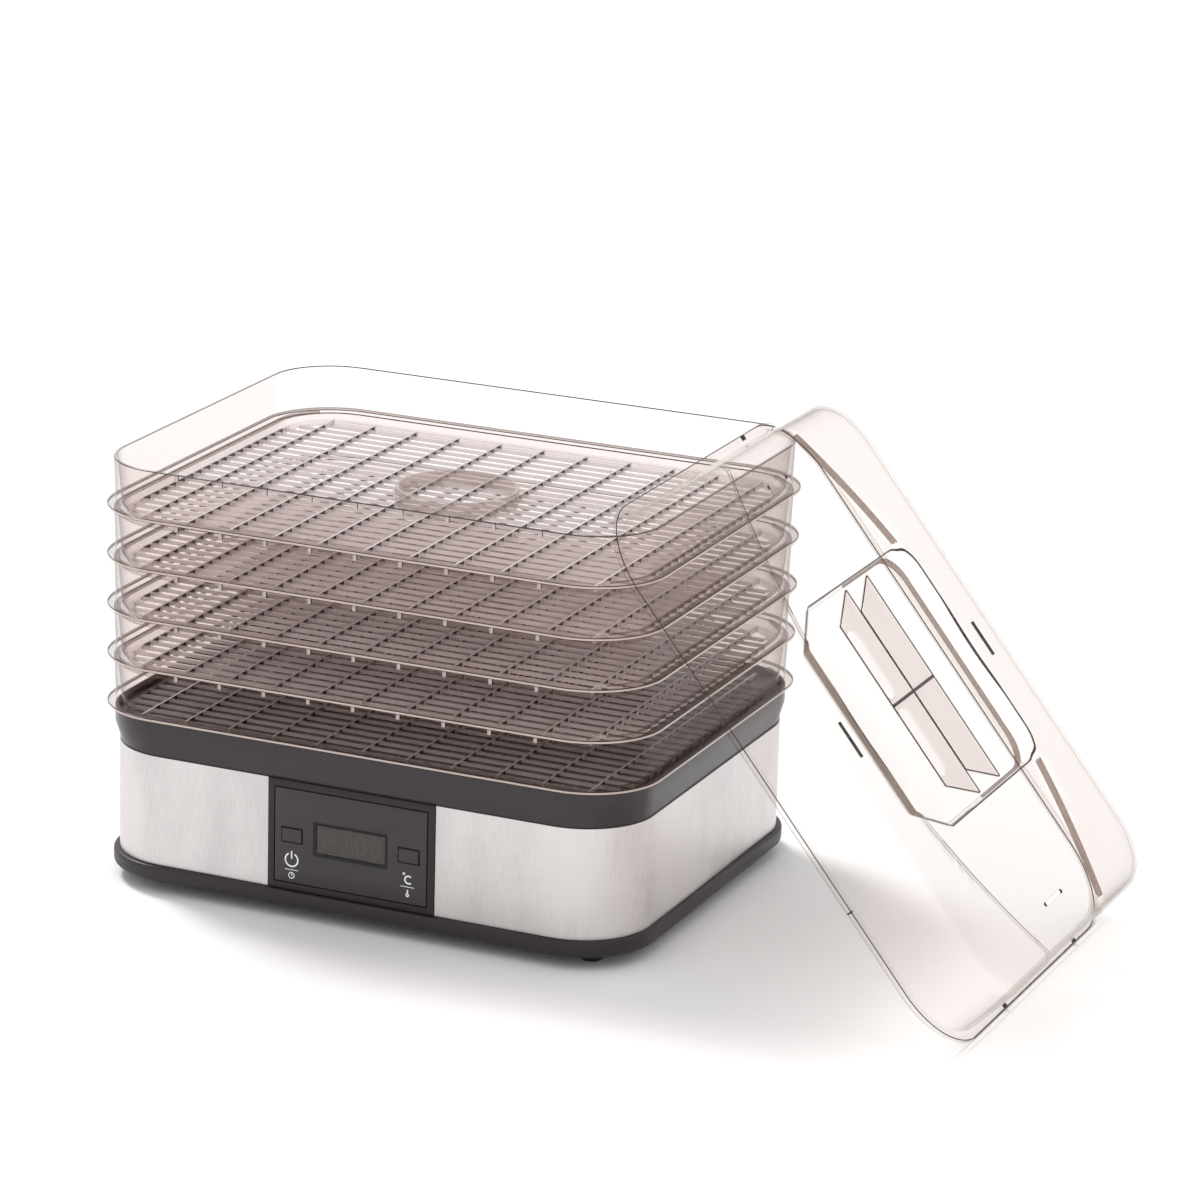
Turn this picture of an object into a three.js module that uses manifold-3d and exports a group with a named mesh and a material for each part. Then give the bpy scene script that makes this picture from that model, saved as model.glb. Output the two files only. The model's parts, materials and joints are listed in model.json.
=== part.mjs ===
// A five-tray food dehydrator. A fan and a ring heater in the base blow warm air up through a stack
// of slatted trays. The clear lid is off, and leans against the right side of the stack.
// Millimetres, +Z up, and -Y is the front. The pieces are placed about the middle of the stack, on the
// ground, and the whole is then moved so that its origin is the bottom centre of everything.

import * as THREE from "three";
import { mergeVertices } from "three/addons/utils/BufferGeometryUtils.js";
import Module from "manifold-3d";

const wasm = await Module();
wasm.setup();

// ---- Driving dimensions ----------------------------------------------------------------------

// Trays
const TRAY_COUNT = 5;
const TRAY_LENGTH = 330;          // outside of the wall at the rim, along X
const TRAY_DEPTH = 262;           // outside of the wall at the rim, along Y
const TRAY_CORNER = 39;           // outer corner radius at the rim
const TRAY_WALL = 2;
const TRAY_PITCH = 29;            // height that each tray adds to the stack
const TRAY_DRAFT = 1.3;           // the wall leans in by this much from rim to lip
const LIP_REACH = 3.8;            // the lip stands this far outside the rim
const LIP_THICK = 2;
const SPIGOT_DROP = 5.2;          // the floor hangs this far below the lip, inside what is beneath
const FLOOR_THICK = 2;
const SLAT_COLUMNS = 6;
const SLAT_ROWS = 4;
const SLAT_BAR = 7;               // solid bar between two rows of slots
const COLUMN_BAR = 6;             // solid bar between two columns of slots
const FLOOR_MARGIN = 14;          // solid border of the slatted floor
const RING_RADIUS = 35.2;
const RING_WALL = 2.2;
const RING_HEIGHT = 8.3;

// Base
const FOOT_HEIGHT = 6;
const FOOT_RADIUS = 6.3;
const FOOT_LEFT_INSET = 57;       // foot centres, in from the skirt's left end
const FOOT_RIGHT_INSET = 29;      // from its right end
const FOOT_SIDE_INSET = 25;       // and from its front and back
const FOOT_PIN_RADIUS = 2;
const SKIRT_REACH = 1.5;          // the skirt stands this far outside the trays' rim
const SKIRT_CORNER_EXTRA = 5;     // and its corners are this much rounder
const SKIRT_HEIGHT = 10.6;
const SKIRT_RIM = 6;              // thickness of the skirt's upstanding rim
const BOTTOM_THICK = 2.5;
const BAND_INSET = 1.6;           // the stainless band is this far inside the trays' rim
const BAND_CORNER_EXTRA = 3;
const BAND_THICK = 0.8;
const BAND_HEIGHT = 64.2;
const COLLAR_INSET = 0.2;
const COLLAR_CORNER_EXTRA = 1;
const COLLAR_HEIGHT = 21.2;
const COLLAR_ROUND = 1;
const INNER_WALL = 2.2;           // wall of the housing behind the band
const DECK_THICK = 2.5;

// Control panel
const PANEL_WIDTH = 103;
const PANEL_PROUD = 1.1;          // how far the panel stands in front of the band
const PANEL_FRAME_WIDTH = 92;     // frame on the panel's back, through the housing wall
const PANEL_FRAME_HEIGHT = 46;
const PANEL_FRAME_WALL = 2;
const PANEL_FRAME_DEPTH = 7;
const GROOVE_INSET = 4.4;
const GROOVE_WIDTH = 0.8;
const GROOVE_DEPTH = 0.5;
const WINDOW_WIDTH = 42.6;
const WINDOW_HEIGHT = 16.6;
const WINDOW_THICK = 1.2;
const WINDOW_SUNK = 0.7;
const BUTTON_OFFSET = 36.1;
const BUTTON_WIDTH = 12.2;
const BUTTON_HEIGHT = 8;
const BUTTON_PROUD = 0.9;
const BUTTON_TRAVEL = 0.8;
const BUTTON_STEM = 4;
const CONTROLS_RISE = 0.5;        // middle of the window and buttons, above the band's middle
const BOARD_THICK = 1.6;

// Air path
const DUCT_RADIUS = 80;
const DUCT_WALL = 1;
const DUCT_HEIGHT = 60;
const GRILLE_RADIUS = 88;
const GRILLE_THICK = 2;
const DECK_HOLE_RADIUS = 83;
const INTAKE_RADIUS = 66;
const INTAKE_HOLE_RADIUS = 60;
const INTAKE_THICK = 1.8;
const GRILLE_SPOKES = 12;
const FAN_HUB_RADIUS = 11;
const FAN_HUB_HEIGHT = 13;
const FAN_BLADES = 6;
const BLADE_THICK = 1.6;
const BLADE_WIDTH = 34;
const BLADE_PITCH = 28;           // degrees
const FAN_HEADROOM = 8;           // between the shaft's top and the heater frame
const FAN_FOOTROOM = 9;           // between the motor and the hub
const SHAFT_RADIUS = 2.5;
const SHAFT_ABOVE_HUB = 3;
const MOTOR_RADIUS = 21;
const MOTOR_HEIGHT = 24;
const BRACKET_REACH = 74;
const BRACKET_WIDTH = 22;
const BRACKET_FOOT = 12;
const SHEET_THICK = 1.5;
const HEATER_RADIUS = 50;
const HEATER_WIRE = 2.6;
const HEATER_FRAME_HEIGHT = 12;
const HEATER_FRAME_THICK = 1.6;
const THERMOSTAT_RADIUS = 8;
const THERMOSTAT_HEIGHT = 7;
const FUSE_RADIUS = 2.2;
const FUSE_LENGTH = 16;
const INLET_X = -100;
const INLET_Z = 34;
const INLET_RADIUS = 6;
const INLET_FLANGE_RADIUS = 9.5;
const INLET_BORE = 3.5;
const SCREW_RADIUS = 1.5;
const SCREW_HEAD_RADIUS = 3.2;
const SCREW_HEAD_HEIGHT = 1.6;
const SCREW_INSET = 22;           // base screws, in from the ends of the skirt
const SCREW_CORNER_INSET = 52;    // and in from its front and back

// Lid
const LID_HEIGHT = 42.5;
const LID_WALL = 2;
const LID_LIP_THICK = 3.2;
const LID_SEAT_DEPTH = 1.6;       // rebate under the lip, which drops over the top tray's rim
const LID_FOOT_INSET = 5;         // the wall starts this far inside the lip
const LID_DRAFT = 3.6;
const LID_ROUND = 8;
const POCKET_HALF_LENGTH = 69.5;
const POCKET_BORDER = 50.8;       // from the pocket's sides to the edge of the lip
const POCKET_CUT_X = 18;          // the pocket's corners are cut off by this much
const POCKET_CUT_Y = 31;
const POCKET_DEPTH = 6;
const SHUTTER_WIDTH = 31;         // each of the shutter's two leaves
const SHUTTER_END_GAP = 3;        // between the shutter's ends and the pocket's
const SHUTTER_SLANT = 14.5;       // how far each leaf's end slants back
const SHUTTER_THICK = 1.6;
const SHUTTER_BAR_WIDTH = 2.6;
const SHUTTER_BAR_HEIGHT = 2;
const SHUTTER_TRAVEL = 20;
const VENT_LENGTH = 44;
const VENT_WIDTH = 14;
const VENT_BAR = 6;               // between the two vents
const SLOT_INSET = 33.8;          // from the middle of each slot to the edge of the lip
const SIDE_SLOT_LENGTH = 22;
const END_SLOT_LENGTH = 25;
const SLOT_WIDTH = 2.6;
const LID_OVERHANG = 19.9;        // its upper end reaches this far past the rim that it leans on
const LID_Y = -27.2;              // middle of the lid, in front of the stack's middle

// Clearances
const SEAT_GAP = 0.3;             // between two pieces that rest on or touch each other
const SPIGOT_GAP = 0.7;           // between a spigot and what it drops into
const HOLE_GAP = 0.4;             // around a pin, a stem or a screw
const FAN_GAP = 9;                // between the blade tips and the duct

const CORNER_STEPS = 3;
const ROUND_STEPS = 24;

// ---- Sizes and heights that follow -------------------------------------------------------------

const TRAY_INNER_LENGTH = TRAY_LENGTH - 2 * TRAY_WALL;
const TRAY_INNER_DEPTH = TRAY_DEPTH - 2 * TRAY_WALL;
const SKIRT_LENGTH = TRAY_LENGTH + 2 * SKIRT_REACH;
const SKIRT_DEPTH = TRAY_DEPTH + 2 * SKIRT_REACH;
const SKIRT_CORNER = TRAY_CORNER + SKIRT_CORNER_EXTRA;
const BAND_LENGTH = TRAY_LENGTH - 2 * BAND_INSET;
const BAND_DEPTH = TRAY_DEPTH - 2 * BAND_INSET;
const BAND_CORNER = TRAY_CORNER + BAND_CORNER_EXTRA;
const COLLAR_LENGTH = TRAY_LENGTH - 2 * COLLAR_INSET;
const COLLAR_DEPTH = TRAY_DEPTH - 2 * COLLAR_INSET;
const COLLAR_CORNER = TRAY_CORNER + COLLAR_CORNER_EXTRA;
const FAN_RADIUS = DUCT_RADIUS - DUCT_WALL - FAN_GAP;

const SKIRT_TOP = FOOT_HEIGHT + SKIRT_HEIGHT;
const BAND_BOTTOM = SKIRT_TOP + SEAT_GAP;
const BAND_TOP = BAND_BOTTOM + BAND_HEIGHT;
const COLLAR_BOTTOM = BAND_TOP + SEAT_GAP;
const COLLAR_TOP = COLLAR_BOTTOM + COLLAR_HEIGHT;
const FIRST_TRAY = COLLAR_TOP + SEAT_GAP;
const TRAY_HEIGHT = TRAY_PITCH - SEAT_GAP;
const STACK_TOP = FIRST_TRAY + (TRAY_COUNT - 1) * TRAY_PITCH + TRAY_HEIGHT;
const DECK_TOP = FIRST_TRAY - SPIGOT_DROP - GRILLE_THICK / 2;
const DECK_BOTTOM = DECK_TOP - DECK_THICK;
const BOTTOM_TOP = FOOT_HEIGHT + BOTTOM_THICK;
const INTAKE_BOTTOM = BOTTOM_TOP + SEAT_GAP;
const DUCT_TOP = DECK_BOTTOM - SEAT_GAP;
const HEATER_Z = DUCT_TOP - HEATER_FRAME_HEIGHT / 2 - 1;
const SHAFT_TOP = HEATER_Z - HEATER_FRAME_HEIGHT / 2 - FAN_HEADROOM;
const FAN_FLOOR = SHAFT_TOP - SHAFT_ABOVE_HUB - FAN_HUB_HEIGHT;
const MOTOR_TOP = FAN_FLOOR - FAN_FOOTROOM;
const MOTOR_BOTTOM = MOTOR_TOP - MOTOR_HEIGHT;
const BRACKET_TOP = MOTOR_BOTTOM - SEAT_GAP;
const CONTROLS_HEIGHT = BAND_BOTTOM + BAND_HEIGHT / 2 + CONTROLS_RISE;
const PANEL_BOTTOM = BAND_BOTTOM;
const PANEL_FRONT = -BAND_DEPTH / 2 - PANEL_PROUD;
const PANEL_BACK = -BAND_DEPTH / 2 + BAND_THICK;
const FRAME_BACK = PANEL_BACK + PANEL_FRAME_DEPTH;
const HOUSING_LENGTH = BAND_LENGTH - 2 * BAND_THICK - 2 * SEAT_GAP;
const HOUSING_DEPTH = BAND_DEPTH - 2 * BAND_THICK - 2 * SEAT_GAP;
const HOUSING_CORNER = BAND_CORNER - BAND_THICK - SEAT_GAP;

// ---- Solids ------------------------------------------------------------------------------------

function toSolid(geometry) {
  const bare = geometry.index ? geometry.toNonIndexed() : geometry.clone();
  bare.deleteAttribute("normal");
  bare.deleteAttribute("uv");
  const merged = mergeVertices(bare, 1e-4);
  return new wasm.Manifold(new wasm.Mesh({
    numProp: 3,
    vertProperties: new Float32Array(merged.attributes.position.array),
    triVerts: new Uint32Array(merged.index.array),
  }));
}

function toGeometry(solid) {
  const mesh = solid.getMesh();
  const geometry = new THREE.BufferGeometry();
  geometry.setAttribute("position", new THREE.BufferAttribute(new Float32Array(mesh.vertProperties), 3));
  geometry.setIndex(new THREE.BufferAttribute(new Uint32Array(mesh.triVerts), 1));
  return geometry;
}

// A rounded rectangle about the middle of the object.
function outline(length, depth, corner) {
  const x = length / 2 - corner;
  const y = depth / 2 - corner;
  const shape = new THREE.Shape();
  shape.absarc(x, y, corner, 0, Math.PI / 2);
  shape.absarc(-x, y, corner, Math.PI / 2, Math.PI);
  shape.absarc(-x, -y, corner, Math.PI, 1.5 * Math.PI);
  shape.absarc(x, -y, corner, 1.5 * Math.PI, 2 * Math.PI);
  return shape;
}

function polygon(points) {
  return new THREE.Shape(points.map(([x, y]) => new THREE.Vector2(x, y)));
}

function circle(radius, x = 0, y = 0) {
  return new THREE.Shape().absarc(x, y, radius, 0, 2 * Math.PI);
}

// A flat plate of one outline, or several outlines side by side, from z = low to z = high.
function plate(shape, low, high, steps = CORNER_STEPS) {
  const options = { depth: high - low, bevelEnabled: false, curveSegments: steps };
  return toSolid(new THREE.ExtrudeGeometry(shape, options).translate(0, 0, low));
}

function block(width, depth, height, x, y, z) {
  return toSolid(new THREE.BoxGeometry(width, depth, height).translate(x, y, z));
}

// A round bar along Z.
function disc(radius, low, high, x = 0, y = 0, steps = ROUND_STEPS) {
  const bar = new THREE.CylinderGeometry(radius, radius, high - low, steps);
  return toSolid(bar.rotateX(Math.PI / 2).translate(x, y, (low + high) / 2));
}

// A turned ring about Z between two radii.
function turnedRing(inner, outer, low, high, steps = ROUND_STEPS) {
  const profile = [[inner, low], [outer, low], [outer, high], [inner, high], [inner, low]];
  const lathe = new THREE.LatheGeometry(profile.map(([r, z]) => new THREE.Vector2(r, z)), steps);
  return toSolid(lathe.rotateX(Math.PI / 2));
}

// A smooth block through rounded-rectangle sections, each [length, depth, corner, z], from the bottom up.
function loft(sections) {
  const rings = sections.map(([length, depth, corner, z]) =>
    outline(length, depth, corner).extractPoints(CORNER_STEPS).shape.map((p) => [p.x, p.y, z]));
  const count = rings[0].length;
  const positions = rings.flat(2);
  const faces = [];
  for (let level = 0; level + 1 < rings.length; level += 1) {
    for (let i = 0; i < count; i += 1) {
      const a = level * count + i;
      const b = level * count + ((i + 1) % count);
      faces.push(a, b, b + count, a, b + count, a + count);
    }
  }
  const last = (rings.length - 1) * count;
  for (let i = 1; i + 1 < count; i += 1) {
    faces.push(0, i + 1, i, last, last + i, last + i + 1);
  }
  const geometry = new THREE.BufferGeometry();
  geometry.setAttribute("position", new THREE.Float32BufferAttribute(positions, 3));
  geometry.setIndex(faces);
  return toSolid(geometry);
}

const group = new THREE.Group();

function add(name, solid, colour, roughness, metalness = 0, parent = group) {
  const material = new THREE.MeshStandardMaterial({ color: colour, roughness, metalness });
  const mesh = new THREE.Mesh(solid instanceof wasm.Manifold ? toGeometry(solid) : solid, material);
  mesh.name = name;
  parent.add(mesh);
  return mesh;
}

const SMOKE = 0xb9a7a0;
const BLACK = 0x17171a;
const STEEL = 0xc4c4c6;
const DARK_METAL = 0x77797c;
const MICA = 0xb59a6a;

// ---- Trays -------------------------------------------------------------------------------------

const SPIGOT_LENGTH = TRAY_INNER_LENGTH - 2 * SPIGOT_GAP;
const SPIGOT_DEPTH = TRAY_INNER_DEPTH - 2 * SPIGOT_GAP;
const SPIGOT_CORNER = TRAY_CORNER - TRAY_WALL - SPIGOT_GAP;

// Slots through the floor, in columns along X and rows along Y, left out under the middle ring.
function floorSlots() {
  const length = SPIGOT_LENGTH - 2 * FLOOR_MARGIN;
  const depth = SPIGOT_DEPTH - 2 * FLOOR_MARGIN;
  const columnStep = (length + COLUMN_BAR) / SLAT_COLUMNS;
  const rowStep = (depth + SLAT_BAR) / SLAT_ROWS;
  const slots = [];
  for (let column = 0; column < SLAT_COLUMNS; column += 1) {
    for (let row = 0; row < SLAT_ROWS; row += 1) {
      const left = -length / 2 + column * columnStep;
      const front = -depth / 2 + row * rowStep;
      const right = left + columnStep - COLUMN_BAR;
      const back = front + rowStep - SLAT_BAR;
      const nearX = Math.min(Math.abs(left), Math.abs(right));
      const nearY = left * right < 0 ? 0 : Math.max(0, Math.min(Math.abs(front), Math.abs(back)));
      const middle = front < 0 && back > 0 ? 0 : nearY;
      if (Math.hypot(nearX, middle) > RING_RADIUS + 1) {
        slots.push(polygon([[left, front], [right, front], [right, back], [left, back]]));
      }
    }
  }
  return slots;
}

function tray() {
  const inner = 2 * TRAY_WALL;
  const footLength = TRAY_LENGTH - 2 * TRAY_DRAFT;
  const footDepth = TRAY_DEPTH - 2 * TRAY_DRAFT;
  const footCorner = TRAY_CORNER - TRAY_DRAFT;
  const floorTop = FLOOR_THICK - SPIGOT_DROP;
  const lip = plate(
    outline(TRAY_LENGTH + 2 * LIP_REACH, TRAY_DEPTH + 2 * LIP_REACH, TRAY_CORNER + LIP_REACH), 0, LIP_THICK);
  const spigot = plate(outline(SPIGOT_LENGTH, SPIGOT_DEPTH, SPIGOT_CORNER), -SPIGOT_DROP, LIP_THICK);
  const wall = loft([
    [footLength, footDepth, footCorner, 0], [TRAY_LENGTH, TRAY_DEPTH, TRAY_CORNER, TRAY_HEIGHT]]);
  const hollow = loft([
    [footLength - inner, footDepth - inner, footCorner - TRAY_WALL, LIP_THICK],
    [TRAY_INNER_LENGTH, TRAY_INNER_DEPTH, TRAY_CORNER - TRAY_WALL, TRAY_HEIGHT + 1]]);
  const well = plate(
    outline(SPIGOT_LENGTH - inner, SPIGOT_DEPTH - inner, SPIGOT_CORNER - TRAY_WALL), floorTop, LIP_THICK + 1);
  const slots = plate(floorSlots(), -SPIGOT_DROP - 1, floorTop + 1);
  const ring = turnedRing(RING_RADIUS - RING_WALL, RING_RADIUS, -SPIGOT_DROP, floorTop + RING_HEIGHT);
  return lip.add(spigot).add(wall).subtract(hollow).subtract(well).subtract(slots).add(ring);
}

function addTrays() {
  const solid = tray();
  for (let i = 0; i < TRAY_COUNT; i += 1) {
    add(`tray_${i + 1}`, solid, SMOKE, 0.15).position.z = FIRST_TRAY + i * TRAY_PITCH;
  }
}

// ---- Base --------------------------------------------------------------------------------------

const FOOT_Y = SKIRT_DEPTH / 2 - FOOT_SIDE_INSET;
const FOOT_LEFT = FOOT_LEFT_INSET - SKIRT_LENGTH / 2;
const FOOT_RIGHT = SKIRT_LENGTH / 2 - FOOT_RIGHT_INSET;
const SCREW_X = SKIRT_LENGTH / 2 - SCREW_INSET;
const SCREW_Y = SKIRT_DEPTH / 2 - SCREW_CORNER_INSET;
const CORNERS = [[-1, -1], [1, -1], [1, 1], [-1, 1]];
const FOOT_PLACES = CORNERS.map(([sx, sy]) => [sx < 0 ? FOOT_LEFT : FOOT_RIGHT, sy * FOOT_Y]);
const SCREW_PLACES = CORNERS.map(([sx, sy]) => [sx * SCREW_X, sy * SCREW_Y]);
const BRACKET_SCREWS = [-1, 1].map((side) => side * (BRACKET_REACH + BRACKET_FOOT / 2 + 0.5));

// Bottom of the base: a tray whose thick rim carries the band and the housing wall.
function baseTray() {
  const rim = 2 * SKIRT_RIM;
  const chamfer = 1.5;
  let solid = loft([
    [SKIRT_LENGTH - 2 * chamfer, SKIRT_DEPTH - 2 * chamfer, SKIRT_CORNER - chamfer, FOOT_HEIGHT],
    [SKIRT_LENGTH, SKIRT_DEPTH, SKIRT_CORNER, FOOT_HEIGHT + chamfer],
    [SKIRT_LENGTH, SKIRT_DEPTH, SKIRT_CORNER, SKIRT_TOP - 1],
    [SKIRT_LENGTH - 2, SKIRT_DEPTH - 2, SKIRT_CORNER - 1, SKIRT_TOP]]);
  solid = solid.subtract(plate(
    outline(SKIRT_LENGTH - rim, SKIRT_DEPTH - rim, SKIRT_CORNER - SKIRT_RIM), BOTTOM_TOP, SKIRT_TOP + 1));
  solid = solid.subtract(disc(INTAKE_HOLE_RADIUS, FOOT_HEIGHT - 1, BOTTOM_TOP + 1));
  const holes = FOOT_PLACES.map(([x, y]) => circle(FOOT_PIN_RADIUS + HOLE_GAP, x, y));
  holes.push(...SCREW_PLACES.map(([x, y]) => circle(SCREW_RADIUS + HOLE_GAP, x, y)));
  holes.push(...BRACKET_SCREWS.map((x) => circle(SCREW_RADIUS + HOLE_GAP, x)));
  return solid.subtract(plate(holes, FOOT_HEIGHT - 1, BOTTOM_TOP + 1));
}

// Rubber foot: a tapered pad with a pin that presses through the bottom, and a barb above it.
function foot() {
  const under = FOOT_HEIGHT - SEAT_GAP;
  const over = BOTTOM_TOP + SEAT_GAP;
  const barb = FOOT_PIN_RADIUS + 1.2;
  const profile = [
    [0, 0], [FOOT_RADIUS - 1, 0], [FOOT_RADIUS, 1], [FOOT_RADIUS, under],
    [FOOT_PIN_RADIUS, under], [FOOT_PIN_RADIUS, over], [barb, over], [0, over + 2]];
  const lathe = new THREE.LatheGeometry(profile.map(([r, z]) => new THREE.Vector2(r, z)), 12);
  return toSolid(lathe.rotateX(Math.PI / 2));
}

function screw(length) {
  const shank = disc(SCREW_RADIUS, -0.1, length, 0, 0, 10);
  return disc(SCREW_HEAD_RADIUS, -SCREW_HEAD_HEIGHT, 0, 0, 0, 10).add(shank);
}

// Stainless band around the base, open at the front for the panel, with a hole for the inlet.
function steelBand() {
  const wrap = 2 * BAND_THICK;
  const gap = PANEL_WIDTH + 2 * SEAT_GAP;
  const inside = outline(BAND_LENGTH - wrap, BAND_DEPTH - wrap, BAND_CORNER - BAND_THICK);
  return plate(outline(BAND_LENGTH, BAND_DEPTH, BAND_CORNER), BAND_BOTTOM, BAND_TOP)
    .subtract(plate(inside, BAND_BOTTOM - 1, BAND_TOP + 1))
    .subtract(block(gap, 20, BAND_HEIGHT + 2, 0, -BAND_DEPTH / 2, (BAND_BOTTOM + BAND_TOP) / 2))
    .subtract(inletHole());
}

function inletHole() {
  const bar = new THREE.CylinderGeometry(INLET_RADIUS + HOLE_GAP, INLET_RADIUS + HOLE_GAP, 20, 16);
  return toSolid(bar.translate(INLET_X, BAND_DEPTH / 2, INLET_Z));
}

// Housing: the glossy collar that the trays stand on, the deck over the fan, and the wall behind
// the band. Four screw posts reach down to the bottom.
function upperHousing() {
  const length = COLLAR_LENGTH;
  const depth = COLLAR_DEPTH;
  const round = COLLAR_ROUND;
  const wall = 2 * INNER_WALL;
  const hole = 2 * HOLE_GAP;
  const collar = loft([
    [length - 1, depth - 1, COLLAR_CORNER - 0.5, COLLAR_BOTTOM],
    [length, depth, COLLAR_CORNER, COLLAR_BOTTOM + 1],
    [length, depth, COLLAR_CORNER, COLLAR_TOP - round],
    [length - 0.6 * round, depth - 0.6 * round, COLLAR_CORNER - 0.3 * round, COLLAR_TOP - 0.3 * round],
    [length - 2 * round, depth - 2 * round, COLLAR_CORNER - round, COLLAR_TOP]]);
  const inner = plate(
    outline(HOUSING_LENGTH, HOUSING_DEPTH, HOUSING_CORNER), BAND_BOTTOM, COLLAR_BOTTOM + 1);
  const seat = plate(
    outline(TRAY_INNER_LENGTH, TRAY_INNER_DEPTH, TRAY_CORNER - TRAY_WALL), DECK_TOP, COLLAR_TOP + 1);
  const hollow = plate(
    outline(HOUSING_LENGTH - wall, HOUSING_DEPTH - wall, HOUSING_CORNER - INNER_WALL),
    BAND_BOTTOM - 1, DECK_BOTTOM);
  const window = block(
    PANEL_FRAME_WIDTH + hole, 20, PANEL_FRAME_HEIGHT + hole, 0, -HOUSING_DEPTH / 2, CONTROLS_HEIGHT);
  let solid = collar.add(inner).subtract(seat).subtract(hollow).subtract(window);
  solid = solid.subtract(disc(DECK_HOLE_RADIUS, DECK_BOTTOM - 1, DECK_TOP + 1));
  solid = solid.subtract(disc(GRILLE_RADIUS + HOLE_GAP, DECK_TOP - GRILLE_THICK / 2, DECK_TOP + 1));
  for (const [x, y] of SCREW_PLACES) {
    solid = solid.add(disc(4.5, BOTTOM_TOP + SEAT_GAP, DECK_BOTTOM + 0.5, x, y, 10));
    solid = solid.subtract(disc(SCREW_RADIUS + HOLE_GAP, BOTTOM_TOP, BOTTOM_TOP + 14, x, y, 10));
  }
  return solid.subtract(inletHole());
}

// A round grille: a disc with long slots between its spokes, in rings about a solid middle.
function grille(radius, thick, low, rings) {
  const slots = [];
  for (const [inner, outer] of rings) {
    for (let i = 0; i < GRILLE_SPOKES; i += 1) {
      const start = ((i + 0.1) / GRILLE_SPOKES) * 2 * Math.PI;
      const end = ((i + 0.9) / GRILLE_SPOKES) * 2 * Math.PI;
      const at = (r, a) => [r * Math.cos(a), r * Math.sin(a)];
      const half = (start + end) / 2;
      slots.push(polygon([
        at(inner, start), at(outer, start), at(outer, half),
        at(outer, end), at(inner, end), at(inner, half)]));
    }
  }
  return disc(radius, low, low + thick).subtract(plate(slots, low - 1, low + thick + 1));
}

function powerInlet() {
  const out = BAND_DEPTH / 2 + SEAT_GAP;
  const flange = 3;
  const inside = -(BAND_THICK + INNER_WALL + 2 * SEAT_GAP + 4);
  const profile = [
    [INLET_BORE, inside], [INLET_RADIUS, inside], [INLET_RADIUS, 0], [INLET_FLANGE_RADIUS, 0],
    [INLET_FLANGE_RADIUS - 1, flange], [INLET_BORE + 1, flange + 6], [INLET_BORE, flange + 6],
    [INLET_BORE, inside]];
  const lathe = new THREE.LatheGeometry(profile.map(([r, y]) => new THREE.Vector2(r, y)), 16);
  return toSolid(lathe.translate(INLET_X, out, INLET_Z));
}

function addBase() {
  add("base_tray", baseTray(), BLACK, 0.45);
  const pad = foot();
  FOOT_PLACES.forEach(([x, y], i) => add(`foot_${i + 1}`, pad, 0x0d0d0d, 0.8).position.set(x, y, 0));
  const fixing = screw(12);
  const head = FOOT_HEIGHT - SEAT_GAP;
  SCREW_PLACES.forEach(([x, y], i) =>
    add(`base_screw_${i + 1}`, fixing, DARK_METAL, 0.35, 1).position.set(x, y, head));
  add("steel_band", steelBand(), STEEL, 0.35, 1);
  add("upper_housing", upperHousing(), BLACK, 0.2);
  const top = [[20, 46], [52, 78]];
  const thick = GRILLE_THICK - SEAT_GAP;
  add("air_grille", grille(GRILLE_RADIUS, thick, DECK_TOP - GRILLE_THICK / 2 + SEAT_GAP, top), BLACK, 0.5);
  add("intake_grille", grille(INTAKE_RADIUS, INTAKE_THICK, INTAKE_BOTTOM, [[24, 55]]), BLACK, 0.5);
  add("power_inlet", powerInlet(), BLACK, 0.6);
}

// ---- Controls ----------------------------------------------------------------------------------

const BOARD_FRONT = FRAME_BACK + SEAT_GAP;
const BUTTON_BACK = PANEL_BACK + 1;

function frontBlock(width, height, front, back, x = 0, z = CONTROLS_HEIGHT) {
  return block(width, back - front, height, x, (front + back) / 2, z);
}

function controlPanel() {
  const height = BAND_HEIGHT;
  const middle = PANEL_BOTTOM + height / 2;
  const grooveWidth = PANEL_WIDTH - 2 * GROOVE_INSET;
  const grooveHeight = height - 2 * GROOVE_INSET;
  const line = 2 * GROOVE_WIDTH;
  const frameWall = 2 * PANEL_FRAME_WALL;
  const hole = 2 * HOLE_GAP;
  let solid = frontBlock(PANEL_WIDTH, height, PANEL_FRONT, PANEL_BACK - SEAT_GAP, 0, middle);
  const frameHollow = frontBlock(
    PANEL_FRAME_WIDTH - frameWall, PANEL_FRAME_HEIGHT - frameWall, PANEL_BACK - 2, FRAME_BACK + 1);
  const frame = frontBlock(PANEL_FRAME_WIDTH, PANEL_FRAME_HEIGHT, PANEL_BACK - 1, FRAME_BACK)
    .subtract(frameHollow);
  const grooveIsland = frontBlock(
    grooveWidth - line, grooveHeight - line, PANEL_FRONT - 2, PANEL_FRONT + 2, 0, middle);
  const groove = frontBlock(
    grooveWidth, grooveHeight, PANEL_FRONT - 1, PANEL_FRONT + GROOVE_DEPTH, 0, middle).subtract(grooveIsland);
  solid = solid.add(frame).subtract(groove);
  const opening = (width, tall, x) =>
    frontBlock(width + hole, tall + hole, PANEL_FRONT - 1, PANEL_BACK + 1, x);
  return solid
    .subtract(opening(WINDOW_WIDTH, WINDOW_HEIGHT, 0))
    .subtract(opening(BUTTON_WIDTH, BUTTON_HEIGHT, -BUTTON_OFFSET))
    .subtract(opening(BUTTON_WIDTH, BUTTON_HEIGHT, BUTTON_OFFSET));
}

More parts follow.
